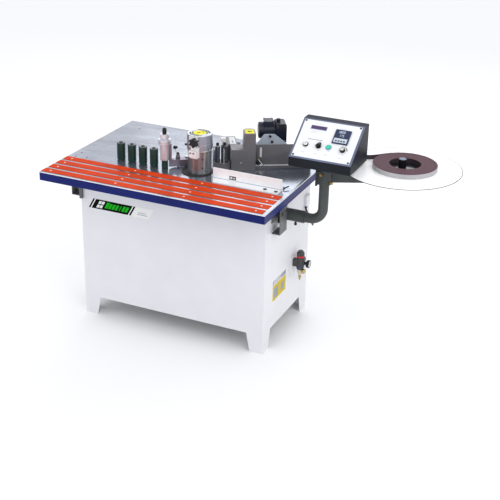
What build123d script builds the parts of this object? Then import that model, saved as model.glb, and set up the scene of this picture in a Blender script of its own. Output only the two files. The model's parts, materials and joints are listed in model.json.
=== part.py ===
from build123d import *
import os
from math import atan2, cos, degrees, hypot, pi, radians, sin, tan

# Manual edge banding machine. Millimetres, +Z up, +X along the operator's front edge to the right.
# The origin is the centre of the four anchor holes, at floor level.

# ---- driving dimensions -------------------------------------------------------------------------
TOP = 856                       # height of the work table
TABLE_X, TABLE_Y = 1200, 900    # table length and depth
TABLE_FRONT = -511              # front edge of the table
PLATE_T, LIP_T = 10, 4          # table plate, and the bright lip above its blue edging
SKIRT_H, SKIRT_T = 44, 6        # blue edging, measured from the table's surface
CAB_X, CAB_Y = 1026, 574        # cabinet outside
SHEET = 3                       # cabinet sheet
FOOT_W, FOOT_TAPER, FOOT_H = 71, 20, 102
ANCHOR_X, ANCHOR_Y, ANCHOR_R = 950, 498, 7

STRIP_L, STRIP_W, STRIP_T, STRIP_PROUD = 1180, 44, 5, 2
STRIP_PITCH, STRIP_LAST, STRIP_COUNT = 62.8, -476, 4
STRIP_CENTRE_X, STRIP_SCREW_PITCH = -8, 366

ROLLER_R, ROLLER_H, ROLLER_PITCH = 21, 87, 62.5
ROLLER_FIRST_X, ROLLER_Y, ROLLER_COUNT = -333, -180, 4
AXLE_R, RUN_GAP = 6, 0.05       # axle radius and running clearance on a radius

POT = (92, -148)                # glue pot's axis
POT_R, LID_R, LID_Z, POT_H = 58.5, 63.5, 125, 200
WELL_R, GLUE_ROLLER_R = 46, 24
SPINDLE_R = 10
PRESS = (-84, -182)             # press roller's axis
ARM_PIVOT, ARM_STUD = (-2, -95), (-38, -130)

FENCE_X0, FENCE_X1, FENCE_Y, FENCE_H, FENCE_FLANGE = 191, 552, -200, 57, 53

GROUP = (225, -69, TOP)         # front left corner of the cutter cover, foot of the tape line
GROUP_TURN = 30                 # the tape line's angle to the table's front
COVER_U, COVER_V, COVER_LOW, COVER_TALL, COVER_STEP = 120, 85, 108, 190, 60
GEAR_U, GEAR_V = 263, 201       # gearbox output, in the tape line's frame

PIPE_R, PIPE_WALL, PIPE_Y, PIPE_Z, PIPE_X, PIPE_BEND = 24.15, 3.2, -110, 705, 730, 62
TRAY = (1054, 50)
TRAY_R, TRAY_Z, TRAY_T, REEL_R, REEL_HOLE, TAPE_W = 282, 976, 2, 152, 75, 22
REEL = (1066, 54)
CONSOLE = (578, -200, 990)      # console's front left lower corner
CONSOLE_X, CONSOLE_Y, LIP_H, CONSOLE_H, CONSOLE_TOP, CONSOLE_WALL = 306, 235, 44, 182, 52, 2
PANEL_SIDE, PANEL_END = 10, 8   # border of the case left showing round the panel
REGULATOR = (553, 85)
INLET_R, INLET_L, INLET_Z = 4, 18, 366      # hose tail of the air supply
INLET_Y = 130                   # face that the hose tail stands on
GAUGE_Z = 361

CABINET_TOP = TOP - PLATE_T
TABLE_BACK = TABLE_FRONT + TABLE_Y
STRIP_Y = [STRIP_LAST + STRIP_PITCH * i for i in range(STRIP_COUNT)]
SCREW_X = [STRIP_CENTRE_X + STRIP_SCREW_PITCH * (i - 1.5) for i in range(4)]
ROLLER_X = [ROLLER_FIRST_X + ROLLER_PITCH * i for i in range(ROLLER_COUNT)]
LINE = Location(GROUP, (0, 0, GROUP_TURN))
SLOPE_RISE, SLOPE_RUN = CONSOLE_H - LIP_H, CONSOLE_Y - CONSOLE_TOP
SLOPE_ANGLE = degrees(atan2(SLOPE_RISE, SLOPE_RUN))
SLOPE_L = hypot(SLOPE_RISE, SLOPE_RUN)
SLOPE = Location((CONSOLE[0], CONSOLE[1], CONSOLE[2] + LIP_H), (SLOPE_ANGLE, 0, 0))
ARM_TURN = degrees(atan2(TRAY[1] - PIPE_Y, TRAY[0] - PIPE_X))
ARM_L = hypot(TRAY[0] - PIPE_X, TRAY[1] - PIPE_Y)
ARM = Location((PIPE_X, PIPE_Y, 0), (0, 0, ARM_TURN))
CONTROLS = {"lamp": (59, 80), "selector": (123, 79), "button": (172, 82), "dial": (242, 77)}
DISPLAY = (55, 130, 172, 189)   # number display and temperature controller: left, right, bottom, top
CONTROLLER = (182, 250, 112, 182)


# ---- helpers --------------------------------------------------------------------------------------
def block(x0, x1, y0, y1, z0, z1):
    """A box between two corners."""
    return Pos((x0 + x1) / 2, (y0 + y1) / 2, (z0 + z1) / 2) * Box(x1 - x0, y1 - y0, z1 - z0)


def post(x, y, z0, z1, r):
    """An upright cylinder."""
    return Pos(x, y, (z0 + z1) / 2) * Cylinder(r, z1 - z0)


def rod(start, end, r):
    """A cylinder between two points."""
    start, end = Vector(*start), Vector(*end)
    plane = Plane(origin=start, z_dir=end - start)
    return plane.location * Cylinder(r, (end - start).length, align=(Align.CENTER, Align.CENTER, Align.MIN))


def slab(points, z0, z1):
    """A flat plate with the given outline."""
    return Pos(0, 0, z0) * extrude(make_face(Polyline(*points, close=True)), z1 - z0)


def section_x(points, x):
    """A flat section drawn in Y and Z at one X."""
    return make_face(Polyline(*[(x, y, z) for y, z in points], close=True))


def save(name, *solids):
    """Write one node."""
    shape = solids[0] if len(solids) == 1 else Compound(children=list(solids))
    export_step(shape, f"parts/{name}.step")


# ---- cabinet ----------------------------------------------------------------------------------------
def footed_outline(half, foot):
    """Outline of a cabinet side: straight sides, and a foot at each end with a sloping inner edge."""
    inner = half - foot
    return [(-half, 0), (-inner, 0), (-inner + FOOT_TAPER, FOOT_H), (inner - FOOT_TAPER, FOOT_H),
            (inner, 0), (half, 0), (half, CABINET_TOP), (-half, CABINET_TOP)]


def panel_along_x(y0):
    points = [(x, y0, z) for x, z in footed_outline(CAB_X / 2, FOOT_W)]
    return extrude(make_face(Polyline(*points, close=True)), SHEET, dir=(0, 1, 0))


def panel_along_y(x0):
    points = [(x0, y, z) for y, z in footed_outline(CAB_Y / 2 - SHEET, FOOT_W)]
    return extrude(make_face(Polyline(*points, close=True)), SHEET, dir=(1, 0, 0))


DOOR_X, DOOR_Z0, DOOR_Z1, DOOR_T = 350, 170, 760, 16
HINGE = (-368, CAB_Y / 2 + 9)
HINGE_Z = (260, 670)


def cabinet():
    save("cabinet_panels", panel_along_x(-CAB_Y / 2), panel_along_y(-CAB_X / 2),
         panel_along_y(CAB_X / 2 - SHEET))
    rear = CAB_Y / 2
    opening = block(-DOOR_X + 10, DOOR_X - 10, rear - 20, rear + 20, DOOR_Z0 + 10, DOOR_Z1 - 10)
    panel = panel_along_x(rear - SHEET) - opening
    for z in HINGE_Z:
        leaf = block(HINGE[0] - 22, HINGE[0] - 7, rear, rear + 3, z - 30, z + 30)
        arm = block(HINGE[0] - 10, HINGE[0] + 3, rear, HINGE[1] + 3, z - 30, z - 22)
        pin = post(HINGE[0], HINGE[1], z - 30, z + 24, 3)
        panel = panel + leaf + arm + pin
    save("rear_panel", panel)
    feet = []
    for x in (-ANCHOR_X / 2, ANCHOR_X / 2):
        for y in (-ANCHOR_Y / 2, ANCHOR_Y / 2):
            pad = block(x - 35, x + 35, y - 35, y + 35, 0, 8) & block(
                -CAB_X / 2 + SHEET, CAB_X / 2 - SHEET, -CAB_Y / 2 + SHEET, CAB_Y / 2 - SHEET, 0, 8)
            feet.append(pad - post(x, y, -1, 9, ANCHOR_R))
    save("foot_plates", *feet)


def rear_door():
    y0 = CAB_Y / 2 + 0.5
    outer = block(-DOOR_X - 10, DOOR_X + 10, y0, y0 + DOOR_T, DOOR_Z0, DOOR_Z1)
    inner = block(-DOOR_X - 8, DOOR_X + 8, y0 - 1, y0 + DOOR_T - 2, DOOR_Z0 + 2, DOOR_Z1 - 2)
    door = outer - inner
    for z in HINGE_Z:
        knuckle = post(HINGE[0], HINGE[1], z - 21, z + 21, 6)
        strap = block(HINGE[0], -DOOR_X - 2, HINGE[1] + 3, y0 + DOOR_T, z - 21, z + 21)
        door = door + knuckle + strap
        door = door - post(HINGE[0], HINGE[1], z - 31, z + 31, 3 + RUN_GAP)
    handle = block(DOOR_X - 40, DOOR_X - 28, y0 + DOOR_T, y0 + DOOR_T + 22, 440, 540)
    grip_gap = block(DOOR_X - 41, DOOR_X - 27, y0 + DOOR_T, y0 + DOOR_T + 14, 452, 528)
    save("rear_door", door + (handle - grip_gap))


def control_box():
    """Electrics box inside the cabinet's left side, and the cable's junction box on its right side."""
    x0 = -CAB_X / 2 + SHEET
    shell = block(x0, x0 + 120, -120, 160, 330, 640) - block(x0 - 1, x0 + 118, -118, 158, 332, 638)
    wall = CAB_X / 2
    save("control_box", shell, block(wall, wall + 15, 204, 252, 622, 677))


# ---- table --------------------------------------------------------------------------------------------
TABLE_HOLES = [(-495, 284), (-563, -187), (-563, -245), (-502, -237)]
FENCE_BOLTS = [(478, -231), (536, -236)]


def gearbox_output():
    turned = LINE * Pos(GEAR_U, GEAR_V, 0)
    return turned.position.X, turned.position.Y


def table():
    x0, x1 = -TABLE_X / 2, TABLE_X / 2
    plate = block(x0, x1, TABLE_FRONT, TABLE_BACK, TOP - LIP_T, TOP)
    plate = plate + block(x0 + SKIRT_T, x1 - SKIRT_T, TABLE_FRONT + SKIRT_T, TABLE_BACK - SKIRT_T,
                          TOP - PLATE_T, TOP - LIP_T)
    half = STRIP_L / 2 + 0.1
    cuts = [block(STRIP_CENTRE_X - half, STRIP_CENTRE_X + half, y - STRIP_W / 2 - 0.1,
                  y + STRIP_W / 2 + 0.1, TOP - STRIP_T + STRIP_PROUD, TOP + 1) for y in STRIP_Y]
    through = [(x, y, 5) for x, y in TABLE_HOLES + FENCE_BOLTS + [ARM_PIVOT, ARM_STUD]]
    through += [(x, ROLLER_Y, 5) for x in ROLLER_X]
    through += [(x, y, 2.5) for x in SCREW_X for y in STRIP_Y]
    through += [(POT[0], POT[1], 14), (*gearbox_output(), 14)]
    cuts += [post(x, y, TOP - PLATE_T - 1, TOP + 1, r) for x, y, r in through]
    save("table_top", plate - cuts)

    z0, z1 = TOP - SKIRT_H, TOP - LIP_T
    save("table_skirt",
         block(x0, x1, TABLE_FRONT, TABLE_FRONT + SKIRT_T, z0, z1),
         block(x0, x1, TABLE_BACK - SKIRT_T, TABLE_BACK, z0, z1),
         block(x0, x0 + SKIRT_T, TABLE_FRONT + SKIRT_T, TABLE_BACK - SKIRT_T, z0, z1),
         block(x1 - SKIRT_T, x1, TABLE_FRONT + SKIRT_T, TABLE_BACK - SKIRT_T, z0, z1))


def strips():
    z0, z1 = TOP - STRIP_T + STRIP_PROUD, TOP + STRIP_PROUD
    bars, screws = [], []
    for y in STRIP_Y:
        bar = block(STRIP_CENTRE_X - STRIP_L / 2, STRIP_CENTRE_X + STRIP_L / 2,
                    y - STRIP_W / 2, y + STRIP_W / 2, z0, z1)
        for x in SCREW_X:
            bar = bar - post(x, y, z1 - 2, z1 + 1, 5) - post(x, y, z0 - 1, z1, 2.5)
            screws.append(post(x, y, z1 - 2, z1 - 0.4, 5) + post(x, y, TOP - PLATE_T, z1 - 1, 2.5))
        bars.append(bar)
    save("slide_strips", *bars)
    save("strip_screws", *screws)


def table_brackets():
    """Black channels that carry the table's overhang, bolted to the cabinet's sides."""
    side, z0 = CAB_X / 2, 636
    depth, wall = 47, 5

    def channel(y0, y1, foot):
        outline = [(side, CABINET_TOP), (side, 690), (side + wall, 690), (side + wall, CABINET_TOP - wall),
                   (side + depth - wall, CABINET_TOP - wall), (side + depth - wall, foot + wall),
                   (side + 3, foot + wall), (side + 3, foot), (side + depth, foot),
                   (side + depth, CABINET_TOP)]
        face = make_face(Polyline(*[(x, y0, z) for x, z in outline], close=True))
        return extrude(face, y1 - y0, dir=(0, 1, 0))

    right = channel(-224, -141, z0)
    left = mirror(channel(-300, -228, 668), about=Plane.YZ)
    left = left + block(-side - 3, -side + 14, -300, -CAB_Y / 2, 655, CABINET_TOP)
    save("table_brackets", right, left)


# ---- idle rollers -------------------------------------------------------------------------------------
def socket_screw(x, y, z, r=6.5, h=7):
    """A cap screw seen from above: washer, head and hexagon socket."""
    head = post(x, y, z, z + 2, r + 3) + post(x, y, z + 2, z + 2 + h, r)
    key = Pos(x, y, z + 2 + h - 2) * extrude(RegularPolygon(r * 0.5, 6), 5)
    return head - key


def idle_rollers():
    z0 = TOP + 3.3
    axles = []
    for number, x in enumerate(ROLLER_X, 1):
        axle = post(x, ROLLER_Y, TOP, TOP + 3, 11) + post(x, ROLLER_Y, TOP - PLATE_T, TOP + 91, 5)
        axles.append(axle + post(x, ROLLER_Y, TOP, TOP + 91, AXLE_R))
        body = post(x, ROLLER_Y, z0, z0 + ROLLER_H, ROLLER_R)
        body = chamfer(body.edges().filter_by(GeomType.CIRCLE), 1.5)
        save(f"guide_roller_{number}", body - post(x, ROLLER_Y, TOP, TOP + 100, AXLE_R + RUN_GAP))
    pivot = post(*ARM_PIVOT, TOP - PLATE_T, TOP + 1, 5) + post(*ARM_PIVOT, TOP, TOP + 6.5, 13)
    pivot = pivot + post(*ARM_PIVOT, TOP, TOP + 43, 8) + post(*ARM_PIVOT, TOP + 43, TOP + 49, 13)
    stud = post(*ARM_STUD, TOP - PLATE_T, TOP + 56, 5)
    save("table_studs", *axles, pivot, stud)


def screws():
    """Cap screws of the rollers, fence and motor bracket, and the arm's lock screw."""
    heads = [socket_screw(x, ROLLER_Y, TOP + 91, h=3) for x in ROLLER_X]
    for x, y in FENCE_BOLTS:
        bolt = post(x, y, TOP + 6, TOP + 8.5, 9) + post(x, y, TOP - PLATE_T, TOP + 7, 5)
        heads.append(bolt - Pos(x, y, TOP + 6.5) * extrude(RegularPolygon(4, 6), 5))
    for u, z in BRACKET_SCREWS:
        heads.append(LINE * (rod((u, BRACKET_V - 7, z), (u, BRACKET_V, z), 6.5)
                             + rod((u, BRACKET_V, z), (u, BRACKET_V + BRACKET_T, z), 4)))
    lock = post(*LOCK_SCREW, PIPE_Z - 50, PIPE_Z - 38, 7) + post(*LOCK_SCREW, PIPE_Z - 40, PIPE_Z - PIPE_R, 4)
    save("cap_screws", *heads, lock - arm_pipe_bore())


# ---- glue pot ------------------------------------------------------------------------------------------
PULLEY_Z, PULLEY_T = 772, 20
POT_PULLEY_R, MOTOR_PULLEY_R, BELT_T = 45, 32, 8


def pulley(x, y, r):
    """A flat rim between two flanges."""
    rim = post(x, y, PULLEY_Z, PULLEY_Z + PULLEY_T, r)
    flanges = post(x, y, PULLEY_Z, PULLEY_Z + 4, r + 9)
    return rim + flanges + post(x, y, PULLEY_Z + PULLEY_T - 4, PULLEY_Z + PULLEY_T, r + 9)


def glue_pot():
    x, y = POT
    base = post(80, -150, TOP, TOP + 5, 77) - post(x, y, TOP - 1, TOP + 6, 14)
    save("pot_base", base)
    shell = post(x, y, TOP + 5, TOP + LID_Z - 0.2, POT_R) - post(x, y, TOP, TOP + 200, POT_R - 1.5)
    save("pot_shell", shell)
    body = post(x, y, TOP + 5, TOP + 118, POT_R - 1.7) - post(x, y, TOP + 17, TOP + 130, WELL_R)
    save("pot_body", body - post(x, y, TOP, TOP + 30, SPINDLE_R + RUN_GAP))
    roller = post(x, y, TOP + 19, TOP + 112, GLUE_ROLLER_R) + post(x, y, PULLEY_Z, TOP + 126, SPINDLE_R)
    save("glue_roller", roller + pulley(x, y, POT_PULLEY_R))

    z0, z1 = TOP + LID_Z, TOP + POT_H
    lid = post(x, y, z0, z0 + 29, LID_R) + post(x, y, z0, z1, LID_R - 1)
    lid = chamfer(lid.edges().filter_by(GeomType.CIRCLE).sort_by(Axis.Z)[-1], 3)
    save("pot_lid", lid - post(x, y, z0 - 1, z1 - 3, LID_R - 3.5))


GATE_X, GATE_Z = 106, 179        # star knob's axis, from the table's height
GATE_KNOB_R, GATE_KNOB_Y = 25, (-252, -231)


def gate():
    """Bracket on the pot's front, and the star knob that sets the glue gate."""
    x, z = GATE_X, TOP + GATE_Z
    body = block(x - 24, x + 16, -250, -212, TOP + 106, TOP + 137)
    body = body + block(x - 24, x + 16, -226, -212, TOP + 135, TOP + 150)
    body = body + block(x - 24, x + 12, -232, -190, TOP + 94, TOP + 120)
    body = body + block(x - 36, x + 10, -220, -213.5, TOP + 148, TOP + 199)
    body = body - post(*POT, TOP, TOP + 124, POT_R + 0.1) - post(*POT, TOP + 100, TOP + 300, LID_R + 0.8)
    save("gate_bracket", body - rod((x, -230, z), (x, -210, z), 4 + RUN_GAP))
    knob = rod((x, GATE_KNOB_Y[0], z), (x, GATE_KNOB_Y[1], z), GATE_KNOB_R)
    for i in range(6):
        dx, dz = 30 * cos(radians(60 * i + 30)), 30 * sin(radians(60 * i + 30))
        knob = knob - rod((x + dx, GATE_KNOB_Y[0] - 1, z + dz), (x + dx, GATE_KNOB_Y[1] + 1, z + dz), 9)
    knob = knob + rod((x, GATE_KNOB_Y[1] - 1, z), (x, -222, z), 9) + rod((x, -223, z), (x, -214, z), 4)
    save("gate_knob", knob)


def loop(r0, r1, centre0, centre1):
    """Face inside a belt line around two pulleys."""
    ring0 = Pos(*centre0) * Circle(r0)
    ring1 = Pos(*centre1) * Circle(r1)
    return make_hull(ring0.edges() + ring1.edges())


def drive_belt():
    out = gearbox_output()
    z = PULLEY_Z + 5
    inner = loop(POT_PULLEY_R + RUN_GAP, MOTOR_PULLEY_R + RUN_GAP, POT, out)
    outer = loop(POT_PULLEY_R + BELT_T, MOTOR_PULLEY_R + BELT_T, POT, out)
    save("drive_belt", Pos(0, 0, z) * extrude(outer - inner, PULLEY_T - 10))


# ---- press unit ------------------------------------------------------------------------------------------
def press_unit():
    px, py = PRESS
    radius = hypot(ARM_STUD[0] - ARM_PIVOT[0], ARM_STUD[1] - ARM_PIVOT[1])
    plan = [(-64, -178), (16, -122), (16, -80), (-8, -74), (-62, -150)]
    arm = slab(plan, TOP + 7, TOP + 42)
    arm = arm - post(*ARM_PIVOT, TOP, TOP + 60, 8 + RUN_GAP)
    for step in range(-3, 4):
        angle = atan2(ARM_STUD[1] - ARM_PIVOT[1], ARM_STUD[0] - ARM_PIVOT[0]) + radians(4 * step)
        arm = arm - post(ARM_PIVOT[0] + radius * cos(angle), ARM_PIVOT[1] + radius * sin(angle),
                         TOP, TOP + 60, 7)
    turn = degrees(atan2(py + 168, px + 62))
    upright = Pos(px, py, 0) * Rot(0, 0, turn + 180) * block(21, 34, -9, 9, TOP + 42, TOP + 126)
    foot = slab([(-64, -178), (-44, -164), (-52, -150), (-66, -158)], TOP + 30, TOP + 44)
    save("press_arm", arm + foot + upright - post(px, py, TOP + 42, TOP + 200, 22) - post(
        px, py, TOP, TOP + 43, 17))

    body = post(px, py, TOP + 43, TOP + 126, 22) + post(px, py, TOP + 126, TOP + 151, 31)
    body = body + post(px, py, TOP + 151, TOP + 156, 17) + post(px, py, TOP + 156, TOP + 177, 23)
    body = body - post(px, py, TOP, TOP + 122, 8 + RUN_GAP)
    save("press_housing", body - post(px, py, TOP + 130, TOP + 200, 4 + RUN_GAP))
    save("press_roller", post(px, py, TOP + 1.5, TOP + 42, 16) + post(px, py, TOP + 40, TOP + 120, 8))
    knob = post(px, py, TOP + 178, TOP + 208, 10.5)
    knob = fillet(knob.edges().sort_by(Axis.Z)[-1], 9)
    save("press_knob", knob + post(px, py, TOP + 132, TOP + 180, 4))


LEVER_BALL = (-22, 8, 92)       # ball's centre from the stud, at the table's height


def clamp_lever():
    x, y = ARM_STUD
    hub = post(x, y, TOP + 42.5, TOP + 60, 11) - post(x, y, TOP, TOP + 57, 5 + RUN_GAP)
    hub = hub + post(x, y, TOP + 60, TOP + 70, 8)
    foot = Vector(x, y, TOP + 62)
    ball = Vector(x + LEVER_BALL[0], y + LEVER_BALL[1], TOP + LEVER_BALL[2])
    end = Plane(origin=ball, z_dir=ball - foot).location * Sphere(9)
    save("clamp_lever", hub + (rod(tuple(foot), tuple(ball), 3.5) + end))


# ---- fence and tape line ------------------------------------------------------------------------------
WINDOW_X, WINDOW_Z = (278, 313), (9, 29)      # sight window, from the table's height


def fence():
    upright = block(FENCE_X0, FENCE_X1, FENCE_Y - 3, FENCE_Y + 3, TOP, TOP + FENCE_H)
    edge = FENCE_Y - 3 - FENCE_FLANGE
    flange = slab([(FENCE_X0, FENCE_Y - 3), (FENCE_X0 + 24, edge), (FENCE_X1, edge), (FENCE_X1, FENCE_Y),
                   (FENCE_X0, FENCE_Y)], TOP, TOP + 6)
    window = block(*WINDOW_X, FENCE_Y - 9, FENCE_Y + 9, TOP + WINDOW_Z[0], TOP + WINDOW_Z[1])
    body = upright + flange - window
    save("fence", body - [post(x, y, TOP - 1, TOP + 7, 5) for x, y in FENCE_BOLTS])


SLOT_U, SLOT_W, SLOT_Z = 150, 11, (57, 108)
PLATE_U0, PLATE_U1, PLATE_V, PLATE_H = 121, 400, 36, 122


def guide_plate():
    plate = block(PLATE_U0, PLATE_U1, PLATE_V, PLATE_V + 4, 0, PLATE_H)
    rail = block(PLATE_U0, PLATE_U1, PLATE_V - 12, PLATE_V, 0, 16)
    slot = block(SLOT_U - SLOT_W / 2, SLOT_U + SLOT_W / 2, PLATE_V - 20, PLATE_V + 20, *SLOT_Z)
    save("guide_plate", LINE * (plate + rail - slot))


TAPE_V = (26, 50)               # the window that the tape runs through, in the cover's two ends


def cutter():
    wall = 2
    tower = make_face(Polyline((COVER_STEP + 8, 0), (COVER_U, 0), (COVER_U, 70), (COVER_U - 12, COVER_V),
                               (COVER_STEP + 14, COVER_V), (COVER_STEP, 64), (COVER_STEP, 12), close=True))
    hollow = offset(tower, -wall, kind=Kind.INTERSECTION)
    outer = block(0, COVER_U, 0, COVER_V, 0, COVER_LOW) + extrude(tower, COVER_TALL)
    inner = block(wall, COVER_U - wall, wall, COVER_V - wall, -1, COVER_LOW - wall)
    inner = inner + Pos(0, 0, COVER_LOW - 10) * extrude(hollow, COVER_TALL - wall - COVER_LOW + 10)
    windows = block(-5, COVER_U + 5, TAPE_V[0], TAPE_V[1], -1, 40)
    save("cutter_cover", LINE * (outer - inner - windows))

    stand = block(72, 112, 64, 72, 0, 168) + block(72, 112, 48, 72, 110, 165)
    barrel = post(92, 38, 95, 165, 20) - post(92, 38, 90, 158, 6 + RUN_GAP)
    save("cutter_cylinder", LINE * (stand + barrel - post(92, 38, 90, 158, 6 + RUN_GAP)))
    blade = post(92, 38, 58, 152, 6) + block(76, 108, 30, 46, 50, 64) + block(90.5, 93.5, 26, 50, 29, 52)
    save("cutter_blade", LINE * blade)
    save("valve_block", LINE * block(-10, 36, 86, 208, 0, COVER_LOW))


INFEED_U, INFEED_V = (-30, -65), 41


def infeed():
    base = block(-88, -4, 20, 75, 0, 34)
    for u in INFEED_U:
        base = base + post(u, INFEED_V, 30, 124, 5)
    save("infeed_base", LINE * base)
    for side, u, r, top in (("right", INFEED_U[0], 18, 118), ("left", INFEED_U[1], 12.5, 113)):
        roller = post(u, INFEED_V, 35, top, r)
        roller = chamfer(roller.edges().filter_by(GeomType.CIRCLE), 1)
        save(f"infeed_roller_{side}", LINE * (roller - post(u, INFEED_V, 30, 130, 5 + RUN_GAP)))


# ---- gear motor ------------------------------------------------------------------------------------------
BRACKET_V, BRACKET_T = 150, 6
BRACKET_SCREWS = [(207, 126), (218, 97)]
MOTOR_R, MOTOR_Z, MOTOR_U0, MOTOR_U1 = 42, 142, 152, 235


def gear_motor():
    outline = [(112, 0), (338, 0), (338, 50), (230, 136), (178, 136), (112, 50)]
    face = make_face(Polyline(*[(u, BRACKET_V, z) for u, z in outline], close=True))
    bracket = extrude(face, BRACKET_T, dir=(0, 1, 0)) + block(112, 338, BRACKET_V, 172, 0, 8)
    for u, z in BRACKET_SCREWS:
        bracket = bracket - rod((u, BRACKET_V - 1, z), (u, BRACKET_V + BRACKET_T + 1, z), 4)
    save("motor_bracket", LINE * bracket)

    body = rod((MOTOR_U0 + 6, GEAR_V, MOTOR_Z), (MOTOR_U1, GEAR_V, MOTOR_Z), MOTOR_R - 2)
    body = body + rod((MOTOR_U0, GEAR_V, MOTOR_Z), (MOTOR_U0 + 26, GEAR_V, MOTOR_Z), MOTOR_R)
    box = block(180, 226, GEAR_V - 30, GEAR_V + 28, MOTOR_Z + 20, MOTOR_Z + 54)
    box = box - rod((MOTOR_U0 - 5, GEAR_V, MOTOR_Z), (300, GEAR_V, MOTOR_Z), MOTOR_R)
    save("gear_motor", LINE * body, LINE * box)

    case = block(MOTOR_U1, 292, BRACKET_V + BRACKET_T, 246, 82, 186)
    case = chamfer(case.edges().filter_by(Axis.Y), 8)
    case = case + post(GEAR_U, GEAR_V, 40, 84, 26) + post(254, GEAR_V, 180, 202, 10)
    save("gearbox", LINE * (case - post(GEAR_U, GEAR_V, 30, 130, SPINDLE_R + RUN_GAP)))
    x, y = gearbox_output()
    save("motor_spindle", post(x, y, PULLEY_Z, TOP + 128, SPINDLE_R) + pulley(x, y, MOTOR_PULLEY_R))


# ---- air service unit -------------------------------------------------------------------------------------
def regulator():
    x, y = REGULATOR
    side = CAB_X / 2
    body = post(x, y, 330, 384, 21) + block(side, x - 12, y - 16, y + 16, 340, 376)
    body = body + block(side, side + 3, y - 45, y + 50, 292, 400) + post(x, y, 296, 332, 17)
    body = body + post(x, y, 384, 392, 20) + post(x, y, 262, 298, 8)
    body = body + rod((x, y + 12, INLET_Z), (x, INLET_Y, INLET_Z), 15)
    body = body + rod((x, INLET_Y, INLET_Z), (x, INLET_Y + INLET_L, INLET_Z), INLET_R)
    body = body + rod((x + 12, y, GAUGE_Z), (x + 25, y, GAUGE_Z), 13)
    save("filter_regulator", body - post(x, y, 384, 400, 5 + RUN_GAP))
    knob = post(x, y, 393, 428, 20) + post(x, y, 386, 394, 5)
    save("regulator_knob", fillet(knob.edges().filter_by(GeomType.CIRCLE).sort_by(Axis.Z)[-1], 8))
    dial = rod((x + 25, y, GAUGE_Z), (x + 36, y, GAUGE_Z), 8)
    dial = dial + rod((x + 32, y, GAUGE_Z), (x + 52, y, GAUGE_Z), 21)
    save("pressure_gauge", dial)


# ---- arm, console and tray --------------------------------------------------------------------------------
LOCK_SCREW = (593, PIPE_Y)
SOCKET_END = 640


def arm_pipe_bore():
    """The space that the arm's level stretch takes in its socket."""
    return rod((CAB_X / 2 + 8, PIPE_Y, PIPE_Z), (650, PIPE_Y, PIPE_Z), PIPE_R + RUN_GAP)


def support_arm():
    side = CAB_X / 2
    socket = rod((side + 8, PIPE_Y, PIPE_Z), (SOCKET_END, PIPE_Y, PIPE_Z), 30)
    socket = socket + block(side, side + 8, PIPE_Y - 30, PIPE_Y + 45, PIPE_Z - 45, PIPE_Z + 45)
    socket = socket - post(*LOCK_SCREW, PIPE_Z - 50, PIPE_Z, 4)
    socket = socket - post(*LOCK_SCREW, PIPE_Z - 60, PIPE_Z - 38, 7)
    save("arm_socket", socket - arm_pipe_bore())
    start, corner, end = (side + 10, PIPE_Y, PIPE_Z), (PIPE_X, PIPE_Y, PIPE_Z), (PIPE_X, PIPE_Y, ARM_PLATE_Z)
    path = FilletPolyline(start, corner, end, radius=PIPE_BEND)
    mouth = Plane(origin=start, z_dir=(1, 0, 0))
    tube = sweep(mouth * (Circle(PIPE_R) - Circle(PIPE_R - PIPE_WALL)), path=path)
    save("arm_tube", tube - rod(CABLE_ROUTE[-1], CABLE_ROUTE[-2], GROMMET_R + 0.5))


ARM_PLATE_Z, ARM_PLATE_T = 965, 5
HUB_Z, BEARING_Z = 893, 936
HUB_SCREWS = [(-42, 907), (-122, 950)]      # direction from the hub's axis, and height


def tray_arm():
    plan = [(-40, -50), (60, -50), (ARM_L + 30, -28), (ARM_L + 30, 45), (-40, 45)]
    arm = slab(plan, ARM_PLATE_Z, ARM_PLATE_Z + ARM_PLATE_T)
    side = [(-40, 866), (-31, 866), (-20, 884), (ARM_L + 30, 884), (ARM_L + 30, ARM_PLATE_Z),
            (-40, ARM_PLATE_Z)]
    flange = make_face(Polyline(*[(along, 40, z) for along, z in side], close=True))
    arm = arm + extrude(flange, 5, dir=(0, 1, 0))
    arm = arm + post(0, 0, ARM_PLATE_Z + ARM_PLATE_T, CONSOLE[2], 50)
    arm = arm + post(0, 0, HUB_Z, ARM_PLATE_Z, 31) - post(0, 0, HUB_Z - 1, ARM_PLATE_Z, PIPE_R + RUN_GAP)
    arm = arm + post(ARM_L, 0, BEARING_Z, ARM_PLATE_Z, 22)
    arm = arm - post(ARM_L, 0, 900, 980, SPINDLE_R + RUN_GAP)
    screws = []
    for turn, z in HUB_SCREWS:
        screw = Rot(0, 0, turn) * (rod((PIPE_R + 1, 0, z), (36, 0, z), 4) + rod((34, 0, z), (46, 0, z), 7))
        arm = arm - Rot(0, 0, turn) * rod((PIPE_R, 0, z), (34, 0, z), 4)
        screws.append(ARM * screw)
    save("tray_arm", ARM * arm)
    save("hub_screws", *screws)


def tray_and_reel():
    x, y = TRAY
    disc = post(x, y, TRAY_Z, TRAY_Z + TRAY_T, TRAY_R) + post(x, y, TRAY_Z, TRAY_Z + 47, 19)
    disc = disc + post(x, y, TRAY_Z - 5.5, TRAY_Z, 18) + post(x, y, BEARING_Z, TRAY_Z, SPINDLE_R)
    save("tray", disc)
    z0 = TRAY_Z + TRAY_T + 0.2
    reel = post(*REEL, z0, z0 + TAPE_W, REEL_R) - post(*REEL, z0 - 1, z0 + TAPE_W + 1, REEL_HOLE)
    save("edging_reel", reel)


TAPE_LEAVES = 132               # angle on the reel where the tape leaves it
TAPE_ROUTE = [(880, 86), (776, 58), (652, 96)]


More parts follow.
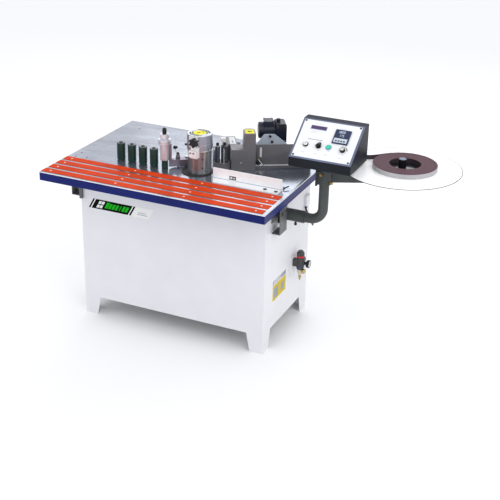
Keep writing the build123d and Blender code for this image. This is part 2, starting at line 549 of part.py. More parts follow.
def tape_strip():
    """The stretch of edging between the reel and the tape line, drawn in plan."""
    z0 = TRAY_Z + TRAY_T + 0.2
    leave, r = radians(TAPE_LEAVES), REEL_R + 1
    start = (REEL[0] + r * cos(leave), REEL[1] + r * sin(leave))
    away = (-sin(leave) * -1, cos(leave) * -1)
    line = Spline((*start, 0), *[(x, y, 0) for x, y in TAPE_ROUTE],
                  tangents=[(-away[0], -away[1], 0), (-0.82, 0.57, 0)])
    ribbon = trace(line, line_width=1.2)
    save("tape_strip", Pos(0, 0, z0) * extrude(ribbon, TAPE_W))


def console():
    x0, y0, z0 = CONSOLE
    y1, z1 = y0 + CONSOLE_Y, z0 + CONSOLE_H
    side = [(y0, z0), (y1, z0), (y1, z1), (y1 - CONSOLE_TOP, z1), (y0, z0 + LIP_H)]
    outer = section_x(side, x0)
    inner = Pos(CONSOLE_WALL, 0, 0) * offset(outer, -CONSOLE_WALL, kind=Kind.INTERSECTION)
    case = extrude(outer, CONSOLE_X, dir=(1, 0, 0))
    case = case - extrude(inner, CONSOLE_X - 2 * CONSOLE_WALL, dir=(1, 0, 0))
    mouth = SLOPE * block(PANEL_SIDE + 8, CONSOLE_X - PANEL_SIDE - 8, PANEL_END + 8, SLOPE_L - PANEL_END - 8,
                          -10, 10)
    save("console_case", case - mouth)

    panel = SLOPE * block(PANEL_SIDE, CONSOLE_X - PANEL_SIDE, PANEL_END, SLOPE_L - PANEL_END, 0, 2)
    holes = [SLOPE * post(*CONTROLS["selector"], -1, 3, 5), SLOPE * post(*CONTROLS["dial"], -1, 3, 4),
             SLOPE * post(*CONTROLS["button"], -1, 3, 10.5), SLOPE * post(*CONTROLS["lamp"], -1, 3, 9),
             SLOPE * block(*DISPLAY, -1, 3), SLOPE * block(*CONTROLLER, -1, 3)]
    save("console_panel", panel - holes)

    left, right, bottom, top = DISPLAY
    display = block(left - 2, right + 2, bottom - 2, top + 2, 2, 5) + block(*DISPLAY, -20, 3)
    left, right, bottom, top = CONTROLLER
    controller = block(left - 4, right + 4, bottom - 4, top + 4, 2, 9) + block(*CONTROLLER, -60, 3)
    lamp = post(*CONTROLS["lamp"], 2, 9, 12) + post(*CONTROLS["lamp"], -25, 3, 9)
    save("panel_meters", *[SLOPE * part for part in (display, controller, lamp)])


def panel_controls():
    x, y = CONTROLS["selector"]
    knob = post(x, y, 2.5, 8, 13) + Pos(x, y, 0) * Rot(0, 0, -35) * block(-4, 4, -14, 16, 7, 19)
    save("selector_knob", SLOPE * (knob + post(x, y, -15, 3, 5 - RUN_GAP)))
    x, y = CONTROLS["dial"]
    knob = chamfer(post(x, y, 2.5, 18, 13).edges().sort_by(Axis.Z)[-1], 2)
    save("dial_knob", SLOPE * (knob + post(x, y, -15, 3, 4 - RUN_GAP)))
    x, y = CONTROLS["button"]
    cap = post(x, y, 7, 11, 12) + post(x, y, -12, 8, 10.5 - RUN_GAP)
    save("green_button", SLOPE * cap)


# ---- control cable ---------------------------------------------------------------------------------------
CABLE_R, GROMMET_R, GROMMET_X = 5, 7.5, 664
CABLE_ROUTE = [(520.5, 216, 622), (520.5, 216, 598), (552, 196, 568), (592, 135, 560), (622, 50, 602),
               (648, -20, 655), (660, -58, 690), (GROMMET_X, -97, PIPE_Z)]


def bend_radii(points):
    """A radius for each corner, as large as its two runs allow."""
    radii = []
    for before, at, after in zip(points, points[1:], points[2:]):
        run_in, run_out = Vector(*at) - Vector(*before), Vector(*after) - Vector(*at)
        half_turn = radians(run_in.get_angle(run_out)) / 2
        radii.append(0.45 * min(run_in.length, run_out.length) / tan(half_turn))
    return radii


def control_cable():
    """Lead from the cabinet to the arm's tube, with a gland and a grommet at its ends."""
    path = FilletPolyline(*CABLE_ROUTE, radius=bend_radii(CABLE_ROUTE))
    first = Vector(*CABLE_ROUTE[1]) - Vector(*CABLE_ROUTE[0])
    section = Plane(origin=CABLE_ROUTE[0], z_dir=first) * Circle(CABLE_R)
    save("control_cable", sweep(section, path=path))
    x, y, z = CABLE_ROUTE[0]
    gland = rod((x, y, z), (x, y, z - 6), 7.4) + rod((x, y, z), (x, y, z - 12), 6.6)
    bore = rod(CABLE_ROUTE[1], (x, y, z), CABLE_R + RUN_GAP)
    end, before = Vector(*CABLE_ROUTE[-1]), Vector(*CABLE_ROUTE[-2])
    back = (before - end).normalized()
    grommet = rod(tuple(end + back * 8), tuple(end + back * 22), GROMMET_R)
    grommet = grommet - rod(tuple(end), tuple(before), CABLE_R + RUN_GAP)
    save("cable_glands", gland - bore, grommet)


def main():
    os.makedirs("parts", exist_ok=True)
    cabinet()
    rear_door()
    control_box()
    table()
    strips()
    table_brackets()
    idle_rollers()
    screws()
    glue_pot()
    gate()
    drive_belt()
    press_unit()
    clamp_lever()
    fence()
    guide_plate()
    cutter()
    infeed()
    gear_motor()
    regulator()
    support_arm()
    tray_arm()
    tray_and_reel()
    tape_strip()
    console()
    panel_controls()
    control_cable()


main()
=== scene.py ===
import json
from math import atan2, cos, hypot, pi, radians, sin

import bmesh
import bpy
from mathutils import Matrix, Vector

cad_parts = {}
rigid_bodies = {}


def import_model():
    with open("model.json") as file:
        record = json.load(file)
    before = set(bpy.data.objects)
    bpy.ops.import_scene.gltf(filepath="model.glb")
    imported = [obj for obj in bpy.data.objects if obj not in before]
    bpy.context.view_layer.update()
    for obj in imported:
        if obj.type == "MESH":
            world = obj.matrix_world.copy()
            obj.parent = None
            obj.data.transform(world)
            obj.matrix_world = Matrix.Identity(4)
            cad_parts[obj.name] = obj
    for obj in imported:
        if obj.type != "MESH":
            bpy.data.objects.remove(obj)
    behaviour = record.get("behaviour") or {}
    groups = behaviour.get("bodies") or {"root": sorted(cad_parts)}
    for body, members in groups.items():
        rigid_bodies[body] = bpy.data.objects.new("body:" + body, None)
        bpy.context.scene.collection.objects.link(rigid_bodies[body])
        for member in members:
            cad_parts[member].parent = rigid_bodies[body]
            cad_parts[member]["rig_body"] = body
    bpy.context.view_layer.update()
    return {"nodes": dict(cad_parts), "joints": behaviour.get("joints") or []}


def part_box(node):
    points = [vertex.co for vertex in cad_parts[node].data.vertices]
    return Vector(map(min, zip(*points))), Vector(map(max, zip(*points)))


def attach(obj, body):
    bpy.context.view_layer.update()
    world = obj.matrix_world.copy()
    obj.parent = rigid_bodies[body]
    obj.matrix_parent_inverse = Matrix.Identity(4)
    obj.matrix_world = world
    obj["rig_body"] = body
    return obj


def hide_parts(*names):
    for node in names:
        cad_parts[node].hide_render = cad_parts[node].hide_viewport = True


# Looks of a manual edge banding machine. Forms are drawn in millimetres in the CAD's frame and scaled once.

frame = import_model()
NODES = frame["nodes"]
JOINTS = {joint["name"]: joint for joint in frame["joints"]}
MM = 0.001
SHARP = radians(32)


# ---- places, from the frame -------------------------------------------------
def box(node):
    """Lowest and highest corner of a CAD node, in millimetres."""
    low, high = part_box(node)
    return low / MM, high / MM


def middle(node):
    low, high = box(node)
    return (low + high) / 2


def hinge(joint):
    """A hinge's place, in millimetres."""
    return Vector(JOINTS[joint]["pos_m"]) / MM


def turned(origin, angle, axis="Z"):
    return Matrix.Translation(origin) @ Matrix.Rotation(angle, 4, axis)


def aimed(at, axis):
    """A place whose Z looks along axis."""
    turn = Vector((0, 0, 1)).rotation_difference(Vector(axis))
    return Matrix.Translation(at) @ turn.to_matrix().to_4x4()


TOP = box("table_top")[1].z
POT = hinge("glue_roller_spin")
PRESS = hinge("press_roller_spin")
PIPE = hinge("console_swivel")
TRAY = hinge("tray_spin")
REEL = hinge("reel_spin")
STUD = hinge("clamp_lever_turn")
GROUP, GROUP_TURN = (225, -69), 30      # front corner and angle of the tape line
LINE = turned((*GROUP, TOP), radians(GROUP_TURN))
CASE_LOW, CASE_HIGH = box("console_case")
LIP, CASE_TOP = 44, 52                  # console's front lip and the depth of its flat top
RISE, RUN = CASE_HIGH.z - CASE_LOW.z - LIP, CASE_HIGH.y - CASE_LOW.y - CASE_TOP
SLOPE_L = hypot(RISE, RUN)
SLOPE = turned((CASE_LOW.x, CASE_LOW.y, CASE_LOW.z + LIP), atan2(RISE, RUN), "X")
CASE_W = CASE_HIGH.x - CASE_LOW.x


# ---- camera, floor and light ------------------------------------------------
LENS, SENSOR = 77.06, 36                # mm
CAMERA_AT = (2.316, -4.554, 2.734)      # m
PAN, TILT, ROLL = 23.81, 24.99, 1.374   # degrees


def camera():
    data = bpy.data.cameras.new("camera")
    data.lens, data.sensor_width = LENS, SENSOR
    data.clip_end = 100
    seen_by = bpy.data.objects.new("camera", data)
    aim = Matrix.Rotation(radians(PAN), 4, "Z") @ Matrix.Rotation(radians(90 - TILT), 4, "X")
    roll = Matrix.Rotation(radians(ROLL), 4, "Z")
    seen_by.matrix_world = Matrix.Translation(CAMERA_AT) @ aim @ roll
    bpy.context.scene.collection.objects.link(seen_by)
    bpy.context.scene.camera = seen_by


def area_light(name, place, aim, size, power, colour=(1, 1, 1)):
    data = bpy.data.lights.new(name, "AREA")
    data.shape, data.size, data.size_y = "RECTANGLE", size[0], size[1]
    data.energy, data.color = power, colour
    lamp = bpy.data.objects.new(name, data)
    lamp.location = place
    lamp.rotation_euler = (Vector(aim) - Vector(place)).to_track_quat("-Z", "Y").to_euler()
    bpy.context.scene.collection.objects.link(lamp)


def studio():
    world = bpy.data.worlds.new("studio")
    bpy.context.scene.world = world
    world.use_nodes = True
    tree = world.node_tree
    way = node(tree, "TexCoord")["Generated"]
    room = noise(tree, way, 1.7, detail=1.0)
    tone = mix(tree, spread(tree, room, -0.9, 1.9), (0.58, 0.60, 0.65), (1.22, 1.22, 1.22))
    tree.nodes["Background"].inputs["Strength"].default_value = 1.10
    tree.links.new(tone, tree.nodes["Background"].inputs["Color"])
    area_light("key_light", (3.4, -1.8, 3.8), (0.1, 0, 0.7), (3.2, 3.2), 52)
    area_light("fill_light", (-3.4, -3.4, 2.8), (0, 0, 0.6), (2.6, 2.6), 16, (0.94, 0.96, 1))
    area_light("back_light", (-0.8, 3.8, 3.4), (0.2, 0, 0.8), (3.4, 2.2), 30)
    floor = Form()
    floor.box((-9000, -9000, -20), (9000, 9000, 0))
    matt = coat("floor", (0.97, 0.97, 0.97), 0.8, fine=40, mottle=0.0, shine=0.1)
    ground = make("studio_floor", floor, None, [matt], 0)


# ---- materials --------------------------------------------------------------
def node(tree, kind, inputs=None, **settings):
    """Adds a shader node and returns its outputs."""
    made = tree.nodes.new("ShaderNode" + kind)
    for name, value in settings.items():
        setattr(made, name, value)
    for name, value in (inputs or {}).items():
        if isinstance(value, bpy.types.NodeSocket):
            tree.links.new(value, made.inputs[name])
        else:
            made.inputs[name].default_value = value
    return made.outputs


def mix(tree, amount, first, second):
    """Mixes two colours by a socket or a number."""
    made = tree.nodes.new("ShaderNodeMix")
    made.data_type = "RGBA"
    for name, value in (("Factor", amount), ("A", first), ("B", second)):
        socket = next(s for s in made.inputs if s.name == name and s.enabled)
        if isinstance(value, bpy.types.NodeSocket):
            tree.links.new(value, socket)
        else:
            socket.default_value = (*value, 1) if isinstance(value, tuple) else value
    return next(s for s in made.outputs if s.enabled)


def spread(tree, value, low, high):
    """Maps a 0 to 1 pattern to a range."""
    return node(tree, "MapRange", {"Value": value, "To Min": low, "To Max": high})["Result"]


def noise(tree, where, scale, detail=4.0, rough=0.55, stretch=(1, 1, 1)):
    spot = node(tree, "Mapping", {"Vector": where, "Scale": stretch})["Vector"]
    settings = {"Vector": spot, "Scale": scale, "Detail": detail, "Roughness": rough}
    return node(tree, "TexNoise", settings)["Fac"]


def coat(name, colour, rough, metal=0.0, fine=900, stretch=(1, 1, 1), mottle=0.06, cloud=7, stray=0.08,
         depth=0.05, clear=0.0, shine=0.5, wear=None, light=None, streaks=False):
    """A finish: cloudy colour, a fine grain in roughness and bump, and bare or rubbed edges."""
    made = bpy.data.materials.new(name)
    made.use_nodes = True
    tree = made.node_tree
    shader = tree.nodes["Principled BSDF"].inputs
    where = node(tree, "TexCoord")["Object"]
    grain = noise(tree, where, fine, stretch=stretch)
    clouds = noise(tree, where, cloud, detail=6.0, stretch=stretch if streaks else (1, 1, 1))
    darker = tuple(channel * (1 - 2.2 * mottle) for channel in colour)
    lighter = tuple(min(1.0, channel * (1 + mottle)) for channel in colour)
    tone = mix(tree, spread(tree, clouds, -0.6, 1.6), darker, lighter)
    tone = mix(tree, spread(tree, grain, 0.0, 1.4 * mottle), tone, tuple(c * 0.55 for c in colour))
    if wear:
        soft = node(tree, "Bevel", {"Radius": 0.0022}, samples=4)["Normal"]
        sharp = node(tree, "NewGeometry")["Normal"]
        bend = node(tree, "VectorMath", {0: soft, 1: sharp}, operation="DOT_PRODUCT")["Value"]
        edge = node(tree, "MapRange", {"Value": bend, "From Min": 0.985, "From Max": 0.80})["Result"]
        patchy = spread(tree, noise(tree, where, 60), -0.9, 1.6)
        edge = node(tree, "Math", {0: edge, 1: patchy}, operation="MULTIPLY", use_clamp=True)["Value"]
        tone = mix(tree, edge, tone, wear)
    tree.links.new(tone, shader["Base Color"])
    tree.links.new(spread(tree, grain, max(0.02, rough - stray), rough + stray), shader["Roughness"])
    bump = node(tree, "Bump", {"Height": grain, "Strength": depth, "Distance": 0.001})["Normal"]
    tree.links.new(bump, shader["Normal"])
    shader["Metallic"].default_value = metal
    shader["Specular IOR Level"].default_value = shine
    shader["Coat Weight"].default_value = clear
    shader["Coat Roughness"].default_value = 0.12
    if light:
        shader["Emission Color"].default_value = (*colour, 1)
        shader["Emission Strength"].default_value = light
    return made


def table_steel():
    """Ground steel: long fine grinding marks, cloudy oil film and a few rubbed paths."""
    made = coat("table_steel", (0.27, 0.295, 0.36), 0.21, metal=0.85, fine=520, stretch=(0.03, 1, 1),
                mottle=0.16, cloud=3.2, stray=0.08, depth=0.08)
    tree = made.node_tree
    shader = tree.nodes["Principled BSDF"].inputs
    where = node(tree, "TexCoord")["Object"]
    rubbed = spread(tree, noise(tree, where, 9, detail=9, rough=0.7, stretch=(0.5, 1.3, 1)), -0.5, 1.3)
    before = shader["Base Color"].links[0].from_socket
    tree.links.new(mix(tree, rubbed, before, (0.49, 0.52, 0.59)), shader["Base Color"])
    return made


def wound_tape(name, colour, dark, centre):
    """The reel's face: hundreds of turns, each a little different."""
    made = coat(name, colour, 0.46, fine=700, mottle=0.05, shine=0.10)
    tree = made.node_tree
    shader = tree.nodes["Principled BSDF"].inputs
    where = node(tree, "TexCoord")["Object"]
    flat = node(tree, "VectorMath", {0: where, 1: (1, 1, 0)}, operation="MULTIPLY")["Vector"]
    axis = (centre.x * MM, centre.y * MM, 0)
    radius = node(tree, "VectorMath", {0: flat, 1: axis}, operation="DISTANCE")["Value"]
    turns = node(tree, "TexNoise", {"W": radius, "Scale": 900.0, "Detail": 3.0}, noise_dimensions="1D")["Fac"]
    wide = node(tree, "TexNoise", {"W": radius, "Scale": 90.0, "Detail": 2.0}, noise_dimensions="1D")["Fac"]
    both = node(tree, "Math", {0: turns, 1: wide}, operation="MULTIPLY")["Value"]
    tree.links.new(mix(tree, spread(tree, both, -0.2, 2.6), dark, colour), shader["Base Color"])
    bump = node(tree, "Bump", {"Height": turns, "Strength": 0.5, "Distance": 0.0006})["Normal"]
    tree.links.new(bump, shader["Normal"])
    return made


def clear_lens(name):
    made = coat(name, (0.95, 0.97, 1.0), 0.04, fine=60, mottle=0.01, stray=0.02, depth=0.01)
    shader = made.node_tree.nodes["Principled BSDF"].inputs
    shader["Transmission Weight"].default_value = 0.95
    shader["IOR"].default_value = 1.3
    return made


COATS = {}


def coats():
    """Every finish, by name."""
    bare = (0.62, 0.63, 0.65)
    table = {
        "cabinet": dict(colour=(0.74, 0.74, 0.77), rough=0.42, fine=1400, mottle=0.015, depth=0.10,
                        shine=0.3),
        "blue": dict(colour=(0.004, 0.011, 0.125), rough=0.36, fine=700, mottle=0.10, shine=0.16,
                     wear=(0.05, 0.08, 0.30)),
        "bright_edge": dict(colour=(0.88, 0.90, 0.93), rough=0.30, metal=0.5, fine=500,
                            stretch=(0.05, 1, 1)),
        "orange": dict(colour=(0.71, 0.052, 0.003), rough=0.52, fine=500, stretch=(0.06, 1, 1), mottle=0.10,
                       depth=0.12, shine=0.07, wear=(0.80, 0.13, 0.04)),
        "screw": dict(colour=(0.80, 0.79, 0.77), rough=0.24, metal=1.0, fine=900),
        "black_screw": dict(colour=(0.035, 0.035, 0.04), rough=0.38, metal=0.4, fine=900, shine=0.3,
                            wear=bare),
        "dark": dict(colour=(0.056, 0.064, 0.062), rough=0.42, fine=1100, mottle=0.12, depth=0.14,
                     shine=0.35, wear=(0.12, 0.13, 0.13)),
        "bracket": dict(colour=(0.105, 0.108, 0.118), rough=0.40, fine=1100, mottle=0.12, depth=0.12,
                        wear=(0.22, 0.22, 0.23)),
        "console": dict(colour=(0.014, 0.018, 0.024), rough=0.40, fine=1500, mottle=0.10, depth=0.16,
                        shine=0.12, wear=(0.09, 0.12, 0.25)),
        "console_top": dict(colour=(0.012, 0.013, 0.030), rough=0.52, fine=1500, mottle=0.12, depth=0.16,
                            shine=0.10, wear=(0.10, 0.12, 0.22)),
        # up-tilted faces of the console: lighter blue-grey than the case, a painted reflection of the bright
        # sky
        "console_slope_sheen": dict(colour=(0.150, 0.165, 0.245), rough=0.34, fine=1500, mottle=0.10, depth=0.12,
                              shine=0.30, wear=(0.16, 0.20, 0.36)),
        "cover": dict(colour=(0.152, 0.147, 0.157), rough=0.33, fine=1200, mottle=0.10, depth=0.10,
                      metal=0.25, wear=(0.34, 0.32, 0.32)),
        # the same cover paint, lighter and more metallic: painted highlight on the faces that look left along
        # the line
        "cover_lit_side": dict(colour=(0.27, 0.27, 0.30), rough=0.30, fine=1200, mottle=0.14, depth=0.10,
                           metal=0.5, wear=(0.42, 0.42, 0.44)),
        # strip screw heads as plain matt white, not metal: painted glint standing for their bright reflection
        "strip_screw": dict(colour=(0.84, 0.84, 0.83), rough=0.5, fine=900, mottle=0.05),
        "roller_steel": dict(colour=(0.085, 0.10, 0.135), rough=0.30, metal=0.5, fine=700, mottle=0.14),
        "slate": dict(colour=(0.27, 0.25, 0.30), rough=0.28, metal=0.7, fine=800, mottle=0.12, depth=0.10,
                      wear=(0.40, 0.36, 0.40)),
        "sleeve": dict(colour=(0.007, 0.042, 0.034), rough=0.36, fine=650, mottle=0.16, depth=0.16,
                       shine=0.4),
        "cream": dict(colour=(0.70, 0.70, 0.76), rough=0.24, metal=0.45, fine=600, mottle=0.06, stray=0.05),
        "white_paint": dict(colour=(0.82, 0.78, 0.78), rough=0.34, fine=800, mottle=0.05, shine=0.3),
        "unit_grey": dict(colour=(0.060, 0.062, 0.062), rough=0.42, fine=1300, mottle=0.12,
                          depth=0.14, shine=0.3),
        "black": dict(colour=(0.012, 0.013, 0.014), rough=0.40, fine=1300, mottle=0.10, depth=0.14,
                      shine=0.3),
        "gloss_black": dict(colour=(0.010, 0.010, 0.012), rough=0.16, fine=300, mottle=0.08, shine=0.4),
        "polished": dict(colour=(0.44, 0.47, 0.49), rough=0.30, metal=0.75, fine=420, stretch=(1, 1, 0.01),
                         mottle=0.34, cloud=48, stray=0.08, depth=0.03, streaks=True),
        "turned": dict(colour=(0.34, 0.365, 0.42), rough=0.34, metal=0.75, fine=520,
                       stretch=(0.15, 0.15, 2.5),
                       mottle=0.08, depth=0.06),
        "iron": dict(colour=(0.045, 0.041, 0.04), rough=0.62, metal=0.3, fine=420, mottle=0.25, depth=0.35),
        "aluminium": dict(colour=(0.90, 0.92, 0.94), rough=0.34, metal=0.05, fine=480, stretch=(0.04, 1, 1),
                          mottle=0.03, depth=0.05),
        # dark motor paint; the blue in its colour is partly painted reflection
        "motor": dict(colour=(0.010, 0.014, 0.032), rough=0.34, fine=420, mottle=0.18, depth=0.22,
                      shine=0.34,
                      wear=(0.08, 0.09, 0.13)),
        "pale_plate": dict(colour=(0.56, 0.635, 0.72), rough=0.36, fine=900, mottle=0.05, shine=0.3),
        "steel": dict(colour=(0.50, 0.51, 0.54), rough=0.28, metal=1.0, fine=520, stretch=(1, 1, 0.1)),
        "belt": dict(colour=(0.02, 0.02, 0.02), rough=0.62, fine=500, mottle=0.15, depth=0.3),
        "brass": dict(colour=(0.55, 0.40, 0.17), rough=0.28, metal=1.0, fine=700, mottle=0.14),
        "red": dict(colour=(0.60, 0.02, 0.03), rough=0.32, fine=800, shine=0.3),
        "blue_dot": dict(colour=(0.02, 0.08, 0.50), rough=0.30, fine=800),
        "bowl": dict(colour=(0.62, 0.58, 0.46), rough=0.20, fine=600, mottle=0.10),
        "panel": dict(colour=(0.86, 0.865, 0.875), rough=0.34, fine=1600, mottle=0.015, depth=0.05,
                      shine=0.3),
        "panel_edge": dict(colour=(0.30, 0.40, 0.62), rough=0.32, fine=1200, mottle=0.04, shine=0.3),
        "display": dict(colour=(0.085, 0.048, 0.135), rough=0.14, fine=300, mottle=0.10, shine=0.35),
        "controller": dict(colour=(0.026, 0.037, 0.090), rough=0.24, fine=800, mottle=0.08, shine=0.3),
        "digits": dict(colour=(0.70, 0.80, 0.88), rough=0.30, fine=400, light=0.35),
        "keys": dict(colour=(0.56, 0.62, 0.70), rough=0.42, fine=900, mottle=0.05),
        "legend": dict(colour=(0.42, 0.48, 0.58), rough=0.42, fine=900, mottle=0.03),
        "legend_dark": dict(colour=(0.07, 0.06, 0.06), rough=0.42, fine=900, mottle=0.03, shine=0.2),
        "green": dict(colour=(0.045, 0.55, 0.37), rough=0.22, fine=500, mottle=0.05, shine=0.5),
        # tray board: white with a faint glow, painted light that lifts the shade cast on the tray
        "board": dict(colour=(0.92, 0.92, 0.915), rough=0.36, fine=900, mottle=0.012, shine=0.3,
                      light=0.10),
        "board_rim": dict(colour=(0.045, 0.038, 0.034), rough=0.6, fine=600, mottle=0.15, shine=0.05),
        "tape_side": dict(colour=(0.44, 0.44, 0.455), rough=0.42, fine=1500, mottle=0.08,
                          stretch=(1, 1, 0.05)),
        "tape": dict(colour=(0.045, 0.032, 0.040), rough=0.42, fine=900, mottle=0.10, stretch=(1, 1, 0.2),
                     shine=0.3),
        "hub_top": dict(colour=(0.10, 0.145, 0.23), rough=0.34, metal=0.3, fine=700),
        "rubber": dict(colour=(0.014, 0.015, 0.015), rough=0.50, fine=900, mottle=0.15, depth=0.2,
                       shine=0.35),
        "yellow": dict(colour=(0.82, 0.75, 0.006), rough=0.40, fine=700, mottle=0.05, shine=0.12),
        "notice_yellow": dict(colour=(0.60, 0.46, 0.006), rough=0.42, fine=700, mottle=0.05, shine=0.12),
        "white_label": dict(colour=(0.84, 0.84, 0.83), rough=0.36, fine=700, mottle=0.02, shine=0.3),
        "black_label": dict(colour=(0.002, 0.0025, 0.0025), rough=0.45, fine=700, mottle=0.05, shine=0.04),
        "green_mark": dict(colour=(0.008, 0.46, 0.010), rough=0.38, fine=700, mottle=0.03, shine=0.08),
        "grey_label": dict(colour=(0.26, 0.28, 0.36), rough=0.36, fine=700, mottle=0.06, shine=0.3),
        # painted shade: the near-black fill set inside holes, slots and sockets
        "hole_shade": dict(colour=(0.008, 0.008, 0.010), rough=0.8, fine=400, mottle=0.05, shine=0.1),
    }
    for name, settings in table.items():
        COATS[name] = coat(name, **settings)
    COATS["table_steel"] = table_steel()
    COATS["wound"] = wound_tape("wound", (0.135, 0.044, 0.066), (0.028, 0.010, 0.018), REEL)
    COATS["lens"] = clear_lens("lens")


# ---- forms ------------------------------------------------------------------
class Form:
    """A mesh made of closed solids, in millimetres. tint is the material slot of the next solid."""

    def __init__(self, place=None):
        self.mesh = bmesh.new()
        self.place = place or Matrix.Identity(4)
        self.tint = 0

    def skin(self, rings, loop=False, place=None):
        """Joins rings of points; the two ends are capped unless the rings loop."""
        at = self.place @ (place or Matrix.Identity(4))
        rows = [[self.mesh.verts.new(at @ Vector(point)) for point in ring] for ring in rings]
        count = len(rows[0])
        pairs = list(zip(rows, rows[1:])) + ([(rows[-1], rows[0])] if loop else [])
        faces = []
        for a, b in pairs:
            for i in range(count):
                j = (i + 1) % count
                faces.append(self.mesh.faces.new((a[i], a[j], b[j], b[i])))
        if not loop:
            faces.append(self.mesh.faces.new(rows[0][::-1]))
            faces.append(self.mesh.faces.new(rows[-1]))
        for face in faces:
            face.material_index = self.tint
            face.smooth = True
        return self

    def prism(self, outline, z0, z1, place=None):
        return self.skin([[(x, y, z) for x, y in outline] for z in (z0, z1)], place=place)

    def box(self, low, high, place=None):
        outline = [(low[0], low[1]), (high[0], low[1]), (high[0], high[1]), (low[0], high[1])]
        return self.prism(outline, low[2], high[2], place)

    def lathe(self, profile, at=(0, 0, 0), axis=(0, 0, 1), steps=64, loop=False):
        """Turns (radius, height) points about an axis; loop makes a ring with a hole."""
        angles = [2 * pi * i / steps for i in range(steps)]
        rings = [[(r * cos(a), r * sin(a), z) for a in angles] for r, z in profile]
        return self.skin(rings, loop, aimed(at, axis))

    def disc(self, r, z0, z1, at=(0, 0, 0), axis=(0, 0, 1), steps=48):
        return self.lathe([(r, z0), (r, z1)], at, axis, steps)

    def ring(self, r0, r1, z0, z1, at=(0, 0, 0), axis=(0, 0, 1), steps=64):
        return self.lathe([(r0, z0), (r1, z0), (r1, z1), (r0, z1)], at, axis, steps, loop=True)

    def ball(self, r, at, steps=32):
        angles = [pi * (i + 0.5) / 16 for i in range(16)]
        return self.lathe([(r * sin(a), -r * cos(a)) for a in angles], at, steps=steps)

    def dome(self, r, z0, z1, rise, at=(0, 0, 0), axis=(0, 0, 1), steps=48):
        """A round knob: straight side, then a rounded top."""
        top = [(r * cos(a), z1 - rise + rise * sin(a)) for a in [pi / 2 * i / 8 for i in range(8)]]
        return self.lathe([(r, z0)] + top + [(r * 0.08, z1)], at, axis, steps)

    def tube(self, points, r, steps=16, loop=False):
        """A round bar along points, thinner or thicker where r is a list."""
        points = [Vector(point) for point in points]
        sizes = r if isinstance(r, list) else [r] * len(points)
        rings, side = [], None
        for i, point in enumerate(points):
            before = points[i - 1] if loop else points[max(i - 1, 0)]
            after = points[(i + 1) % len(points)] if loop else points[min(i + 1, len(points) - 1)]
            along = (after - before).normalized()
            side = side or along.orthogonal()
            side = (side - along * side.dot(along)).normalized()
            other = along.cross(side)
            turns = [2 * pi * k / steps for k in range(steps)]
            rings.append([point + (side * cos(t) + other * sin(t)) * sizes[i] for t in turns])
        return self.skin(rings, loop)

    def ribbed(self, r, depth, count, z0, z1, at=(0, 0, 0), axis=(0, 0, 1)):
        """A knob with grip ribs or lobes round it."""
        angles = [2 * pi * i / (count * 8) for i in range(count * 8)]
        outline = [((r - depth * (0.5 + 0.5 * cos(count * a))) * cos(a),
                    (r - depth * (0.5 + 0.5 * cos(count * a))) * sin(a)) for a in angles]
        return self.prism(outline, z0, z1, aimed(at, axis))

    def hex_bolt(self, at, axis, r=6.5, h=5, washer=1.5):
        """A washer and a hexagon head."""
        self.lathe([(r * 1.45, 0), (r * 1.45, washer)], at, axis, 32)
        return self.lathe([(r, washer), (r, washer + h * 0.85), (r * 0.86, washer + h)], at, axis, 6)


def tidy_edges(piece, width):
    """Marks the sharp edges and rounds them by a real radius."""
    piece.data.set_sharp_from_angle(angle=SHARP)
    if width:
        bevel = piece.modifiers.new("soft_edges", "BEVEL")
        bevel.width, bevel.segments = width * MM, 2
        bevel.limit_method, bevel.angle_limit = "ANGLE", SHARP
        bevel.harden_normals, bevel.use_clamp_overlap = True, False


def make(name, form, body, materials, width=0.5, stands_for=()):
    """Turns a form into a piece that rides on a body."""
    bmesh.ops.recalc_face_normals(form.mesh, faces=form.mesh.faces)
    bmesh.ops.scale(form.mesh, vec=(MM, MM, MM), verts=form.mesh.verts)
    data = bpy.data.meshes.new(name)
    form.mesh.to_mesh(data)
    form.mesh.free()
    piece = bpy.data.objects.new(name, data)
    bpy.context.scene.collection.objects.link(piece)
    for material in materials:
        data.materials.append(COATS[material] if isinstance(material, str) else material)
    tidy_edges(piece, width)
    if body:
        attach(piece, body)
    if stands_for:
        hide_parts(*stands_for)
    return piece


def soften(name, materials, width=0.6, pick=None):
    """A CAD node's own shape with its edges rounded, standing for the node."""
    source = NODES[name]
    mesh = bmesh.new()
    mesh.from_mesh(source.data)
    bmesh.ops.remove_doubles(mesh, verts=mesh.verts, dist=1e-6)
    bmesh.ops.dissolve_limit(mesh, angle_limit=radians(0.4), verts=mesh.verts, edges=mesh.edges)
    for face in mesh.faces:
        face.smooth = True
        face.material_index = pick(face) if pick else 0
    data = bpy.data.meshes.new(name + "_made")
    mesh.to_mesh(data)
    mesh.free()
    piece = bpy.data.objects.new(name + "_made", data)
    bpy.context.scene.collection.objects.link(piece)
    for material in materials:
        data.materials.append(COATS[material])
    tidy_edges(piece, width)
    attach(piece, source["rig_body"])
    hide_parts(name)
    return piece


def upright(face):
    """Slot 1 for a face that looks sideways."""
    return 0 if abs(face.normal.z) > 0.5 else 1


